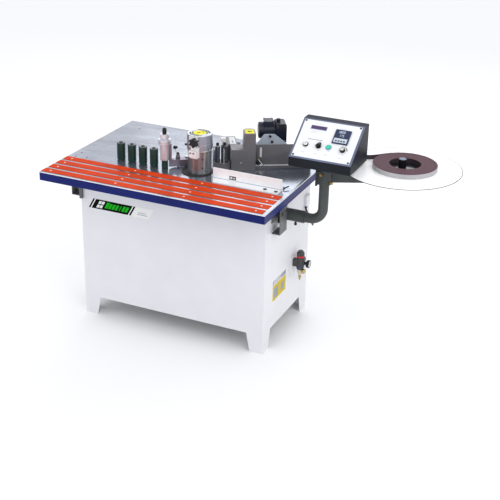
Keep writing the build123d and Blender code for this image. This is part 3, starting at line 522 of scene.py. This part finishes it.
# ---- cabinet and table ------------------------------------------------------
def cabinet():
    soften("cabinet_panels", ["cabinet"], 1.2)
    soften("rear_panel", ["cabinet"], 0.6)
    soften("rear_door", ["cabinet"], 0.8)
    soften("foot_plates", ["cabinet"], 0.8)
    soften("control_box", ["cabinet"], 0.8)
    door_low, door_high = box("rear_door")
    lock = Form()
    at = (door_low.x + 700, door_high.y - 22, 600)
    lock.lathe([(13, 0), (13, 2), (11, 3), (11, 4)], at, (0, 1, 0), 40)
    # the key slot as a dark box: painted shade
    lock.tint = 1
    lock.box((-1.2, -6, 3.8), (1.2, 6, 4.4), Matrix.Translation(at) @ Matrix.Rotation(-pi / 2, 4, "X"))
    make("door_lock", lock, "rear_door", ["screw", "hole_shade"], 0.3)
    louvres = Form()
    for row in range(7):
        z = 240 + 16 * row
        outline = [(0, 0), (5, -1.5), (6, -5), (6, -6), (0, -9)]
        rings = [[(x, door_high.y - 22 + 0.2 + y, z + dz) for y, dz in outline] for x in (-150, 150)]
        louvres.skin(rings)
    make("door_louvres", louvres, "rear_door", ["cabinet"], 0.6)


def labels():
    """Plain plates where the machine has its name and notices, with no lettering."""
    front = box("cabinet_panels")[0].y
    plate = Form(Matrix.Translation((0, front, 0)) @ Matrix.Rotation(pi / 2, 4, "X"))
    slant = 31
    low, high, left, split, right = 610, 665, -462, -236, -123
    rise = high - low

    def leaning(x0, x1, z0, z1, lift):
        shift = [slant * (z - low) / rise for z in (z0, z1)]
        outline = [(x0 + shift[0], z0), (x1 + shift[0], z0), (x1 + shift[1], z1), (x0 + shift[1], z1)]
        plate.prism(outline, 0, lift)

    leaning(left, right, low, high, 0.5)
    plate.tint = 1
    leaning(left - 8, split + 10, low + 1, high - 1, 0.9)
    plate.tint = 0
    leaning(left + 2, left + 8, low + 1, high - 1, 1.2)
    for x in (left + 32, left + 50):
        for z in (low + 8, low + 30):
            leaning(x, x + 15, z, z + 17, 1.2)
    leaning(split - 6, split, low + 1, high - 1, 1.2)
    plate.tint = 2
    for place, wide in enumerate((17, 14, 15, 14, 6, 15, 15)):
        x = left + 78 + 19 * place + (17 - wide) / 2
        leaning(x, x + wide, low + 13, high - 13 + 5 * (place == 0), 1.2)
    plate.tint = 3
    leaning(split + 40, right - 14, low + 14, low + 17, 0.9)
    leaning(split + 40, right - 30, low + 24, low + 27, 0.9)
    make("front_plate", plate, "base", ["white_label", "black_label", "green_mark", "grey_label"], 0)

    side = Form(Matrix.Translation((box("cabinet_panels")[1].x, 0, 0)))
    side.box((0, -181, 241), (0.5, -9, 360))
    side.tint = 1
    side.box((0, -178, 333), (0.9, -12, 357))
    side.tint = 2
    side.box((0, -178, 244), (0.9, -12, 329))
    side.tint = 1
    side.box((0, -160, 258), (1.2, -110, 312))
    side.box((0, -74, 264), (1.2, -34, 306))
    side.tint = 3
    for row in range(4):
        side.box((0, -170, 337 + 5 * row), (1.2, -60 - 16 * (row % 3), 339 + 5 * row))
    make("side_plate", side, "base", ["white_label", "grey_label", "notice_yellow", "white_label"], 0)


def work_table():
    soften("table_top", ["table_steel", "bright_edge"], 0.5, upright)
    soften("table_skirt", ["blue"], 0.7)
    soften("slide_strips", ["orange"], 0.6)
    soften("strip_screws", ["strip_screw"], 0.3)
    # dark discs inside the table's spare holes: painted shade
    holes = Form()
    for x, y in ((-495, 284), (-563, -187), (-563, -245), (-502, -237)):
        holes.disc(4.96, TOP - 9, TOP - 0.5, (x, y, 0), steps=32)
    make("spare_hole_shade", holes, "base", ["hole_shade"], 0)
    soften("table_brackets", ["bracket"], 1.0)
    bolts = Form()
    for y in (-210, -152):
        bolts.hex_bolt((560, y, 741), (1, 0, 0), 7, 5)
    for y in (-285, -245):
        bolts.hex_bolt((-560, y, 741), (-1, 0, 0), 7, 5)
    make("bracket_bolts", bolts, "base", ["black_screw"], 0.4)


# ---- press side -------------------------------------------------------------
def press_side():
    for number in range(1, 5):
        name = f"guide_roller_{number}"
        soften(name, ["sleeve"], 0.5)
        centre = hinge(f"guide_roller_{number}_spin")
        low, high = box(name)
        ends = Form()
        ends.ring(7.5, 14, high.z - 0.4, high.z + 0.5, (centre.x, centre.y, 0))
        ends.ring(15, 17, high.z - 0.4, high.z + 0.3, (centre.x, centre.y, 0))
        make(f"roller_bearing_{number}", ends, name, ["slate"], 0.2)
    soften("table_studs", ["steel"], 0.4)
    soften("cap_screws", ["black_screw"], 0.4)
    soften("press_arm", ["slate"], 0.8)
    soften("press_housing", ["cream"], 0.9)
    soften("press_roller", ["sleeve"], 0.6)
    soften("press_knob", ["black"], 0.4)
    trim = Form()
    trim.ring(22.2, 23.4, TOP + 45, TOP + 47, (PRESS.x, PRESS.y, 0))
    trim.ring(30.5, 31.8, TOP + 136, TOP + 138.5, (PRESS.x, PRESS.y, 0))
    trim.ring(15, 20, TOP + 176.6, TOP + 177.8, (PRESS.x, PRESS.y, 0))
    make("press_trim", trim, "press_arm", ["steel"], 0.3)

    lever = Form()
    ball = Vector((STUD.x - 22, STUD.y + 8, TOP + 92))
    foot = Vector((STUD.x, STUD.y, TOP + 62))
    lever.tint = 3
    lever.lathe([(11, 42.6), (11, 53), (9, 54), (8, 66), (6, 67)], (STUD.x, STUD.y, TOP), steps=40)
    lever.tint = 1
    lever.tube([foot, foot.lerp(ball, 0.5), ball], [4.2, 3.4, 3.0])
    lever.tint = 2
    lever.ball(9, ball)
    lever.ball(7.5, ball + Vector((10, -3, 3)))
    lever.dome(7.5, 66, 73, 5, (STUD.x, STUD.y, TOP))
    make("clamp_handle", lever, "clamp_lever", ["steel", "screw", "gloss_black", "slate"], 0.3,
         ["clamp_lever"])


# ---- glue pot ---------------------------------------------------------------
LID_R = 63.5


def glue_pot():
    x, y = POT.x, POT.y
    soften("pot_base", ["iron"], 0.8)
    soften("pot_body", ["iron"], 0.6)
    soften("glue_roller", ["steel"], 0.5)
    soften("drive_belt", ["belt"], 0.6)
    soften("motor_spindle", ["steel"], 0.6)
    soften("gate_bracket", ["white_paint"], 1.2)
    low, high = box("pot_shell")
    radius = (high.x - low.x) / 2
    shell = Form()
    shell.ring(radius - 1.5, radius, low.z, high.z, (x, y, 0), steps=128)
    shell.ring(radius - 0.5, radius + 1.2, low.z, low.z + 4, (x, y, 0), steps=128)
    make("pot_jacket", shell, "base", ["polished"], 0.3, ["pot_shell"])
    seam = Form()
    for offset, tint in ((0.0, 0), (0.10, 1)):
        seam.tint = tint
        angle = radians(-40) + offset
        at = turned((x, y, 0), angle)
        seam.box((radius - 0.6, -1.6, low.z + 3), (radius + 0.7, 1.6, high.z - 1), at)
    make("pot_seam", seam, "base", ["steel", "brass"], 0.3)
    screws = Form()
    for z in (38, 84):
        angle = radians(-50)
        out = Vector((cos(angle), sin(angle), 0))
        at = Vector((x, y, TOP + z)) + out * radius
        screws.lathe([(4.2, 0), (4.2, 2.5), (3.2, 3.4), (2, 3.4)], at, out, 24)
    make("pot_screws", screws, "base", ["black_screw"], 0.3)
    wire = Form()
    turns = [2 * pi * i / 96 for i in range(96)]
    wire.tube([(x + (LID_R + 1.2) * cos(a), y + (LID_R + 1.2) * sin(a), TOP + 123.4) for a in turns], 1.3,
              steps=12, loop=True)
    make("pot_wire", wire, "base", ["screw"], 0)

    lid = Form()
    z0, z1 = box("pot_lid")[0].z, box("pot_lid")[1].z
    profile = [(LID_R - 3.5, z0), (LID_R, z0), (LID_R, z0 + 28.5), (LID_R - 1, z0 + 29.5),
               (LID_R - 1, z1 - 3), (LID_R - 4, z1), (LID_R - 8, z1), (20, z1), (20, z1 - 3),
               (LID_R - 3.5, z1 - 3)]
    lid.lathe(profile, (x, y, 0), steps=128, loop=True)
    lid.disc(21, z1 - 2.8, z1 - 0.1, (x, y, 0))
    lid.tint = 1
    lid.ring(LID_R - 9, LID_R - 4.5, z1 - 0.6, z1 + 0.4, (x, y, 0), steps=96)
    make("pot_cap", lid, "pot_lid", ["turned", "screw"], 0.5, ["pot_lid"])
    badge = Form()
    badge.disc(32, z1 - 0.2, z1 + 0.5, (x, y, 0), steps=96)
    badge.tint = 2
    badge.ring(32, 51, z1 - 0.2, z1 + 0.4, (x, y, 0), steps=96)
    badge.tint = 1
    for r0, r1, start in ((33, 38, 0), (43.5, 50, 20)):
        for turn in range(0, 360, 6):
            if (turn - start) % 180 > 110:
                continue
            mark = turned((x, y, 0), radians(turn))
            badge.box((r0, -0.052 * r0, z1 - 0.2), (r1, 0.052 * r1, z1 + 0.6), mark)
    badge.box((-12, -3, z1), (2, 4, z1 + 0.7), turned((x, y, 0), 0.5))
    badge.box((10, 8, z1), (19, 16, z1 + 0.7), turned((x, y, 0), 0.3))
    make("lid_badge", badge, "pot_lid", ["yellow", "black_label", "pale_plate"], 0)

    gate = hinge("gate_knob_turn")
    front, back = box("gate_knob")[0].y, box("gate_knob")[1].y
    at = (gate.x, 0, gate.z)
    knob = Form()
    knob.ribbed(25, 8, 6, -front - 21, -front - 1.5, at, (0, -1, 0))
    knob.disc(9, -back + 8, -front - 18, at, (0, -1, 0))
    knob.disc(12, -front - 3, -front, at, (0, -1, 0))
    knob.tint = 1
    knob.disc(4, -back, -front - 18, at, (0, -1, 0))
    make("gate_star_knob", knob, "gate_knob", ["black", "screw"], 1.4, ["gate_knob"])
    side = Form()
    out = Vector((-0.86, -0.50, 0)).normalized()
    at = Vector((x, y, TOP + 142)) + out * (LID_R - 2)
    side.lathe([(3, 0), (3, 3), (5.5, 4), (6, 10), (4.5, 11.5)], at, out, 32)
    make("lid_knob", side, "pot_lid", ["black"], 0.5)
    cap_screws = Form()
    for dx in (-14, 3):
        cap_screws.lathe([(3.6, 0), (3.6, 3), (2.6, 3.8)], (gate.x + dx, box("gate_bracket")[0].y, TOP + 128),
                         (0, -1, 0), 24)
    make("gate_screws", cap_screws, "base", ["black_screw"], 0.3)


# ---- tape line --------------------------------------------------------------
def tape_line():
    left = LINE.to_3x3() @ Vector((-1, 0, 0))
    for name in ("cutter_cover", "guide_plate", "valve_block", "infeed_base"):
        # faces looking left get the lighter copy of the paint: painted highlight
        soften(name, ["cover", "cover_lit_side"], 0.9, lambda face: int(face.normal.dot(left) > 0.45))
    soften("cutter_cylinder", ["aluminium"], 0.6)
    soften("cutter_blade", ["steel"], 0.3)
    soften("infeed_roller_right", ["dark"], 0.6)
    soften("infeed_roller_left", ["roller_steel"], 0.6)
    signs = Form(LINE)
    tall = (LINE.inverted() @ box("cutter_cover")[1]).z
    signs.box((70, 6, tall - 0.2), (113, 68, tall + 0.8))
    signs.tint = 1
    signs.lathe([(7, tall + 0.6), (7, tall + 1.2)], (88, 38, 0), steps=32)
    signs.box((88, 30, tall + 0.6), (102, 38, tall + 1.2))
    signs.tint = 2
    signs.box((2, 90, 107.8), (30, 192, 108.8))
    signs.tint = 3
    signs.box((5, 96, 108.6), (27, 97.5, 109.1))
    signs.box((5, 184, 108.6), (27, 185.5, 109.1))
    signs.box((5, 97, 108.6), (6.2, 184, 109.1))
    signs.ring(6, 8, 108.6, 109.1, (16, 160, 0), steps=40)
    signs.box((11, 108, 108.6), (21, 140, 109.1))
    make("cover_labels", signs, "base", ["yellow", "black_label", "white_label", "grey_label"], 0.2)
    details = Form(LINE)
    details.lathe([(3.4, 0), (3.4, 1.2), (2.4, 1.8), (1.4, 1.8)], (48, 0, 40), (0, -1, 0), 28)
    details.tint = 1
    details.lathe([(9, 90), (9, 98), (8, 100), (3, 100)], (50, 147, 0), steps=40)
    details.lathe([(6, 0), (6, 96)], (50, 147, 0), steps=24)
    make("cover_screw", details, "base", ["screw", "pale_plate"], 0.4)
    knobs = Form(LINE)
    for u, rise in ((-30, 120), (-65, 119)):
        knobs.dome(7.5, rise, rise + 15, 4, (u, 41, 0))
    knobs.tint = 1
    knobs.lathe([(11, 114), (11, 118), (9, 119)], (-65, 41, 0), steps=32)
    knobs.lathe([(8, 118.5), (8, 120)], (-30, 41, 0), steps=32)
    knobs.box((-38, 18.4, 50), (-32, 19.9, 108))
    knobs.box((-38, 18.4, 28), (-32, 21, 50))
    make("infeed_knobs", knobs, "base", ["black", "screw"], 0.4)
    stand = Form(LINE)
    stand.box((-48, 62, 128), (-24, 84, 147))
    stand.disc(4, 30, 128, (-36, 70, 0), steps=24)
    stand.tint = 1
    stand.lathe([(6.5, 0), (6.5, 60), (5.5, 62), (3, 62), (3, 80)], (-82, 62, 30), steps=32)
    make("infeed_block", stand, "base", ["white_paint", "screw"], 0.8)
    backing = Form(LINE)
    backing.box((142, 40.2, 52), (158, 42, 112))
    make("slot_backing", backing, "base", ["white_paint"], 0.3)
    strip = Form(LINE)
    strip.box((124, 24.6, 15.6), (398, 35.6, 16.6))
    make("rail_cap", strip, "base", ["aluminium"], 0.2)

    lever = Form(LINE)
    lever.box((126, 26, 16.6), (160, 35, 22))
    lever.tube([(136, 24, 50), (144, 21, 40), (154, 20, 26), (160, 20, 18)], [2.0, 3.2, 3.0, 2.4])
    lever.tint = 1
    lever.lathe([(8, 0), (8, 5), (6, 7)], (138, 27, 27), (0, -1, 0), 32)
    lever.box((128, 24, 18), (140, 30, 36))
    lever.tint = 2
    lever.ball(4.0, (135, 24, 51))
    lever.tint = 0
    lever.box((124, 25, 16.8), (166, 26.5, 20))
    make("guide_lever", lever, "base", ["screw", "black", "brass"], 0.4)


def fence():
    soften("fence", ["aluminium"], 0.7)
    low, high = box("fence")
    front = high.y - 6
    parts = Form()
    parts.box((279, front + 1, TOP + 10), (312, front + 5, TOP + 28))
    parts.tint = 1
    parts.box((283, front - 0.2, TOP + 14), (295, front + 1.2, TOP + 25))
    parts.box((300, front - 0.2, TOP + 15), (308, front + 1.2, TOP + 24))
    parts.tint = 2
    parts.box((low.x + 2, front - 0.7, TOP + 5.6), (278, front + 0.3, TOP + 8))
    parts.box((313, front - 0.7, TOP + 5.6), (high.x - 1, front + 0.3, TOP + 8))
    make("fence_gauge", parts, "base", ["black", "screw", "grey_label"], 0.3)
    lever = Form()
    lever.tube([(high.x + 3, high.y + 2, TOP + 3), (high.x + 9, high.y + 12, TOP + 12),
                (high.x + 20, high.y + 34, TOP + 15)], [2.2, 3.4, 2.6])
    lever.tube([(high.x + 3, high.y + 8, TOP + 3), (high.x + 3, high.y + 14, TOP + 17)], 2.4)
    make("fence_lever", lever, "base", ["black"], 0.3)


# ---- gear motor -------------------------------------------------------------
MOTOR_U, MOTOR_V, MOTOR_Z, MOTOR_R = 152, 201, 142, 42     # fan end, axis and radius


def gear_motor():
    soften("motor_bracket", ["pale_plate"], 0.8)
    soften("gearbox", ["motor"], 1.5)
    body = Form(LINE)
    at, along = (MOTOR_U, MOTOR_V, MOTOR_Z), (1, 0, 0)
    body.lathe([(36, 0), (MOTOR_R - 3, 1), (MOTOR_R, 5), (MOTOR_R, 24), (MOTOR_R - 2, 26), (MOTOR_R - 3, 27),
                (MOTOR_R - 3, 82)], at, along, 96)
    for step in range(20):
        angle = radians(18 * step)
        if abs(angle - pi / 2) < radians(40):
            continue
        fin = turned((MOTOR_U + 28, MOTOR_V, MOTOR_Z), angle, "X")
        body.box((0, MOTOR_R - 5, -1.2), (52, MOTOR_R - 0.2, 1.2), fin)
    body.box((180, MOTOR_V - 30, MOTOR_Z + 30), (226, MOTOR_V + 28, MOTOR_Z + 48))
    body.box((178, MOTOR_V - 32, MOTOR_Z + 47), (228, MOTOR_V + 30, MOTOR_Z + 54))
    # dark discs for the terminal box's screw sockets and the fan cover's holes: painted shade
    body.tint = 1
    for u in (184, 222):
        for v in (MOTOR_V - 26, MOTOR_V + 24):
            body.lathe([(2.6, 53.5), (2.6, 55.5)], (u, v, MOTOR_Z), steps=20)
    for step in range(12):
        angle = radians(30 * step)
        at_hole = (151.4, MOTOR_V + 24 * cos(angle), MOTOR_Z + 24 * sin(angle))
        body.lathe([(3.4, 0), (3.4, 1.2)], at_hole, along, 20)
    make("motor_housing", body, "base", ["motor", "hole_shade"], 0.6, ["gear_motor"])
    nuts = Form(LINE)
    for u, z in ((245, 96), (284, 96), (245, 172), (284, 172)):
        nuts.hex_bolt((u, 156, z), (0, -1, 0), 4.5, 4, 1)
    nuts.lathe([(7, 0), (7, 4), (5, 10), (5, 16)], (226, MOTOR_V + 14, MOTOR_Z + 38), (1, 0, 0), 24)
    make("motor_fittings", nuts, "base", ["black_screw"], 0.3)


# ---- air service unit -------------------------------------------------------
def air_unit():
    knob_at = hinge("regulator_knob_turn")
    x, y = knob_at.x, knob_at.y
    wall = box("cabinet_panels")[1].x
    inlet_y, inlet_z, gauge_z = box("filter_regulator")[1].y - 18, 366, middle("pressure_gauge").z
    unit = Form()
    unit.box((wall, y - 45, 292), (wall + 3, y + 50, 400))
    unit.tint = 1
    # wall mount block; its dark grey also stands for the shadow on the wall beside the regulator, partly
    # painted shade
    unit.box((wall + 3, y - 16, 340), (x - 12, y + 16, 376))
    unit.lathe([(17, 330), (20, 333), (21, 338), (21, 380), (19, 384)], (x, y, 0), steps=16)
    unit.lathe([(20, 384), (20, 389), (18, 392)], (x, y, 0), steps=48)
    unit.lathe([(15, 12), (15, 40), (12, inlet_y - y)], (x, y, inlet_z), (0, 1, 0), 40)
    unit.lathe([(13, 12), (13, 23), (10, 25)], (x, y, gauge_z), (1, 0, 0), 40)
    unit.tint = 5
    unit.lathe([(16, 331), (16, 308), (13, 301), (8, 298), (8, 290)], (x, y, 0), steps=48)
    unit.tint = 1
    unit.lathe([(17.5, 334), (17.5, 325), (16.2, 324)], (x, y, 0), steps=48)
    unit.tint = 2
    unit.lathe([(6, 10), (6, 15), (11, 16), (13, 20), (13, 28), (9, 31)], (x, y, 318), (0.95, -0.30, 0), 32)
    unit.lathe([(8, 290), (8.5, 284), (8.5, 276), (5, 274), (5, 264), (3, 262)], (x, y, 0), steps=6)
    unit.lathe([(4, -2), (4, 0), (4.0, 4), (3.4, 6), (4.0, 10), (3.4, 12), (4.0, 17), (3.0, 18)],
               (x, inlet_y, inlet_z), (0, 1, 0), 24)
    unit.tint = 3
    for spot_y in (y - 38, y + 43):
        for z in (300, 392):
            unit.lathe([(4, 0), (4, 2.2), (3, 3)], (wall + 3, spot_y, z), (1, 0, 0), 24)
    unit.tint = 4
    unit.lathe([(4.5, 20), (4.5, 22.6)], (x, y, 340), (0.25, -0.97, 0), 24)
    make("air_unit", unit, "base", ["cabinet", "unit_grey", "brass", "screw", "blue_dot", "bowl"], 0.6,
         ["filter_regulator"])

    knob = Form()
    knob.disc(5, 386, 394, (x, y, 0), steps=32)
    knob.ribbed(20, 1.4, 24, 402, 416, (x, y, 0))
    knob.lathe([(19.5, 415), (18, 420), (13, 424), (12, 428), (2, 428)], (x, y, 0), steps=64)
    knob.tint = 1
    knob.lathe([(19.4, 393), (20, 394), (20, 401), (19.4, 402)], (x, y, 0), steps=64)
    make("air_knob", knob, "regulator_knob", ["unit_grey", "red"], 0.4,
         ["regulator_knob"])

    face = box("pressure_gauge")[1].x
    at, z = (face, y, gauge_z), (1, 0, 0)
    gauge = Form()
    gauge.lathe([(8, -27), (8, -18), (17, -17), (20, -14), (21, -8), (21, -1), (19.5, 0), (18, 0), (18, -3)],
                at, z, 64)
    gauge.tint = 1
    gauge.lathe([(17.9, -3.2), (17.9, -2.6)], at, z, 48)
    gauge.tint = 2
    for step in range(11):
        mark = turned(at, radians(-135 + 27 * step), "X")
        gauge.box((-2.7, -0.4, 12.5), (-2.3, 0.4, 16.5), mark)
    gauge.box((-2.4, -0.5, -3), (-1.9, 0.5, 13), turned(at, radians(-60), "X"))
    gauge.lathe([(2, -2.6), (2, -1.5)], at, z, 20)
    make("air_gauge", gauge, "base", ["black", "white_label", "black_label"], 0.2,
         ["pressure_gauge"])
    lens = Form()
    lens.lathe([(17.8, -1.3), (17.8, -0.6), (12, -0.1)], at, z, 48)
    make("gauge_lens", lens, "base", ["lens"], 0)


# ---- arm, tray and reel -----------------------------------------------------
def arm():
    soften("arm_socket", ["dark"], 1.0)
    soften("arm_tube", ["dark"], 0.4)
    soften("tray_arm", ["dark"], 0.8)
    soften("hub_screws", ["brass"], 0.5)
    soften("control_cable", ["rubber"], 0)
    soften("cable_glands", ["black"], 0.5)
    wall = box("arm_socket")[0].x + 8
    bolts = Form()
    for y in (PIPE.y - 22, PIPE.y + 36):
        for z in (670, 740):
            bolts.hex_bolt((wall, y, z), (1, 0, 0), 5.5, 4.5)
    make("socket_bolts", bolts, "base", ["black_screw"], 0.4)


def tray_and_reel():
    x, y = TRAY.x, TRAY.y
    low, high = box("tray")
    radius = (high.x - low.x) / 2
    plate_z = box("edging_reel")[0].z - 0.2
    tray = Form()
    rim = 2.4
    tray.lathe([(19, plate_z - 2), (radius - rim, plate_z - 2), (radius - rim, plate_z), (19, plate_z)],
               (x, y, 0), steps=192, loop=True)
    tray.tint = 1
    tray.lathe([(radius - rim, plate_z - 2.3), (radius, plate_z - 2.1), (radius, plate_z + 0.1),
                (radius - rim, plate_z + 0.3)], (x, y, 0), steps=192, loop=True)
    tray.tint = 2
    tray.ring(18.5, 88, plate_z - 0.5, plate_z + 0.15, (x, y, 0), steps=96)
    tray.lathe([(19, plate_z - 2), (19, high.z - 3), (17.5, high.z - 1)], (x, y, 0), steps=64)
    hub = [(10, low.z), (10, plate_z - 7.5), (18, plate_z - 7.5), (18, plate_z - 2)]
    tray.lathe(hub, (x, y, 0), steps=48)
    tray.tint = 3
    tray.lathe([(17.4, high.z - 1.4), (16.5, high.z), (4, high.z)], (x, y, 0), steps=64)
    make("tape_tray", tray, "tray", ["board", "board_rim", "gloss_black", "hub_top"], 0.3,
         ["tray"])

    low, high = box("edging_reel")
    outer, inner = (high.x - low.x) / 2, 75
    reel = Form()
    rows, sides = 26, 160
    top = []
    for row in range(rows + 1):
        r = outer - (outer - inner) * row / rows
        top.append((r, high.z - 0.35 * (row % 2) - 0.15 * (row % 5 == 0)))
    reel.lathe([(inner, low.z), (outer, low.z)] + top, (REEL.x, REEL.y, 0), steps=sides, loop=True)
    for face in reel.mesh.faces:
        spot = face.calc_center_median()
        reach = hypot(spot.x - REEL.x, spot.y - REEL.y)
        if spot.z >= high.z - 1:
            continue
        if reach > outer - 0.1 * outer / sides:
            face.material_index = 1
        elif reach < inner + 1:
            face.material_index = 2
    make("wound_reel", reel, "edging_reel", ["wound", "tape_side", "tape"], 0, ["edging_reel"])


def tape():
    soften("tape_strip", ["tape"], 0)


# ---- console ----------------------------------------------------------------
SEGMENTS = {"0": "abcdef", "1": "bc", "2": "abged", "3": "abgcd", "4": "fgbc", "5": "afgcd", "6": "afgedc",
            "7": "abc", "8": "abcdefg", "9": "abcdfg"}


def numerals(form, text, x, y, tall, z0, z1):
    """Seven-bar numerals, left corner at x, y."""
    wide, bar = tall * 0.52, tall * 0.14
    boxes = {"a": (0, tall - bar, wide, tall), "g": (0, (tall - bar) / 2, wide, (tall + bar) / 2),
             "d": (0, 0, wide, bar), "f": (0, tall / 2, bar, tall), "b": (wide - bar, tall / 2, wide, tall),
             "e": (0, 0, bar, tall / 2), "c": (wide - bar, 0, wide, tall / 2)}
    for place, figure in enumerate(text):
        left = x + place * wide * 1.35
        for name in SEGMENTS[figure]:
            x0, y0, x1, y1 = boxes[name]
            form.box((left + x0 + 0.3, y + y0 + 0.3, z0), (left + x1 - 0.3, y + y1 - 0.3, z1))


def controls():
    """Places of the panel's controls, from its lower left corner."""
    into = SLOPE.inverted()
    return {"selector": into @ hinge("selector_turn"),
            "dial": into @ hinge("dial_turn"),
            "button": into @ middle("green_button")}


PANEL_SIDE, PANEL_END = 10, 8
LAMP = Vector((59, 80, 0))


def console():
    # faces tilted up get the lighter coat, a painted reflection; flat top faces get console_top
    soften("console_case", ["console", "console_slope_sheen", "console_top"], 1.6,
           lambda face: int(face.normal.z > 0.5) + int(face.normal.z > 0.95))
    at = controls()
    panel = Form(SLOPE)
    panel.box((PANEL_SIDE, PANEL_END, 0.2), (CASE_W - PANEL_SIDE, SLOPE_L - PANEL_END, 1.6))
    panel.tint = 1
    side, end = PANEL_SIDE + 1.2, PANEL_END + 1.2
    panel.box((side, end, 1.2), (CASE_W - side, SLOPE_L - end, 2.4))
    panel.tint = 2
    lines = [(70, 110, 200, 1.2), (196, 226, 194, 1.2), (62, 100, 158, 1.0), (62, 92, 151, 1.0)]
    for x0, x1, y, tall in lines:
        panel.box((x0, y, 2.2), (x1, y + tall, 2.7))
    for spot in (LAMP, at["selector"], at["button"], at["dial"]):
        x, y = spot.x, spot.y
        for shift, wide in ((-42, 10), (-46, 6)):
            panel.box((x - wide, y + shift, 2.2), (x - 1, y + shift + 1.5, 2.7))
            panel.box((x + 2, y + shift, 2.2), (x + wide * 0.8, y + shift + 1.5, 2.7))
        # a small legend-coloured bar below each control: painted shadow of the knob
        panel.box((x + 2, y - 22, 2.2), (x + 10, y - 19, 2.7))
    panel.tint = 3
    panel.box((59, 112, 2.2), (133, 114, 2.8))
    panel.tint = 2
    dial = at["dial"]
    for step in range(11):
        mark = turned((dial.x, dial.y, 0), radians(-135 + 27 * step))
        panel.box((-0.5, 17, 2.2), (0.5, 20.5 + 1.5 * (step % 5 == 0), 2.8), mark)
    panel.tint = 3
    for step in range(28):
        mark = turned((dial.x, dial.y, 0), radians(115 - 4 * step))
        panel.box((22 - 0.16 * step, -0.9, 2.2), (22.5, 0.9, 2.8), mark)
    panel.tint = 2
    for turn in (-45, 0, 45):
        mark = turned((at["selector"].x, at["selector"].y, 0), radians(turn))
        panel.box((-0.7, 17, 2.2), (0.7, 21, 2.8), mark)
    make("instrument_panel", panel, "console", ["panel_edge", "panel", "legend", "legend_dark"], 0.2,
         ["console_panel"])
    screws = Form(SLOPE)
    for x in (PANEL_SIDE + 8, CASE_W - PANEL_SIDE - 8):
        for y in (PANEL_END + 8, SLOPE_L - PANEL_END - 8):
            screws.lathe([(5, 2.2), (5, 3.6), (3.8, 4.8), (1.6, 4.8), (1.4, 3.8)], (x, y, 0), steps=32)
    make("panel_screws", screws, "console", ["black"], 0.2)

    meters = Form(SLOPE)
    meters.box((53, 169.5, 2), (132, 191, 4))
    meters.tint = 1
    meters.box((55, 171.5, 3), (130, 189.5, 5.2))
    meters.tint = 2
    meters.box((178, 108, 2), (254, 186, 9))
    meters.box((183, 139, 8.4), (249, 182, 9.6))
    meters.tint = 3
    numerals(meters, "1800", 193, 165, 13, 9.4, 10)
    numerals(meters, "175", 203, 146, 12, 9.4, 10)
    meters.tint = 4
    meters.box((184, 113, 8.4), (248, 137, 9.8))
    meters.tint = 2
    for x in (195, 208, 221, 234):
        meters.box((x - 3, 118, 9.6), (x + 5, 125, 11))
    make("panel_instruments", meters, "console",
         ["panel_edge", "display", "controller", "digits", "keys"], 0.4, ["panel_meters"])
    lamp = Form(SLOPE)
    lamp.lathe([(13.5, 2), (13.5, 5), (12, 10), (11.6, 10)], LAMP, steps=48)
    lamp.tint = 1
    lamp.dome(10.8, 9.5, 15, 4, LAMP)
    make("indicator_lamp", lamp, "console", ["black", "screw"], 0.4)

    x, y = at["selector"].x, at["selector"].y
    knob = Form(SLOPE)
    knob.lathe([(13, 2.6), (13, 7), (11.5, 9), (10.5, 9)], (x, y, 0), steps=48)
    pointing = turned((x, y, 0), radians(-35))
    knob.prism([(-5, -12), (5, -12), (6, 8), (2, 18), (-2, 18), (-6, 8)], 7, 22, pointing)
    knob.disc(4.95, -15, 3, (x, y, 0), steps=32)
    knob.tint = 1
    knob.box((-0.8, 6, 21.4), (0.8, 17, 22.5), pointing)
    make("selector_handle", knob, "selector_knob", ["black", "white_label"], 1.2,
         ["selector_knob"])

    knob = Form(SLOPE)
    knob.ribbed(13, 0.7, 30, 3, 13, (dial.x, dial.y, 0))
    knob.lathe([(11.5, 12.5), (11, 17), (10, 18)], (dial.x, dial.y, 0), steps=48)
    knob.disc(3.95, -15, 4, (dial.x, dial.y, 0), steps=32)
    knob.tint = 1
    knob.lathe([(8.8, 17.4), (8.8, 18.6), (8, 19)], (dial.x, dial.y, 0), steps=48)
    knob.tint = 2
    knob.box((-0.7, 2, 18.6), (0.7, 8.4, 19.3), turned((dial.x, dial.y, 0), radians(40)))
    make("dial_handle", knob, "dial_knob", ["black", "screw", "black_label"], 0.5,
         ["dial_knob"])

    x, y = at["button"].x, at["button"].y
    bezel = Form(SLOPE)
    bezel.ring(12.4, 14.5, 2.2, 6, (x, y, 0), steps=48)
    make("button_bezel", bezel, "console", ["panel_edge"], 0.5)
    button = Form(SLOPE)
    button.disc(10.4, -12, 8, (x, y, 0))
    button.lathe([(12, 7), (12, 9.6), (10.6, 11), (6, 10.4)], (x, y, 0), steps=48)
    make("push_button", button, "green_button", ["green"], 0.4, ["green_button"])


# ---- the whole --------------------------------------------------------------
camera()
coats()
studio()
cabinet()
labels()
work_table()
press_side()
glue_pot()
tape_line()
fence()
gear_motor()
air_unit()
arm()
tray_and_reel()
tape()
console()
bpy.context.scene.view_settings.view_transform = "Standard"
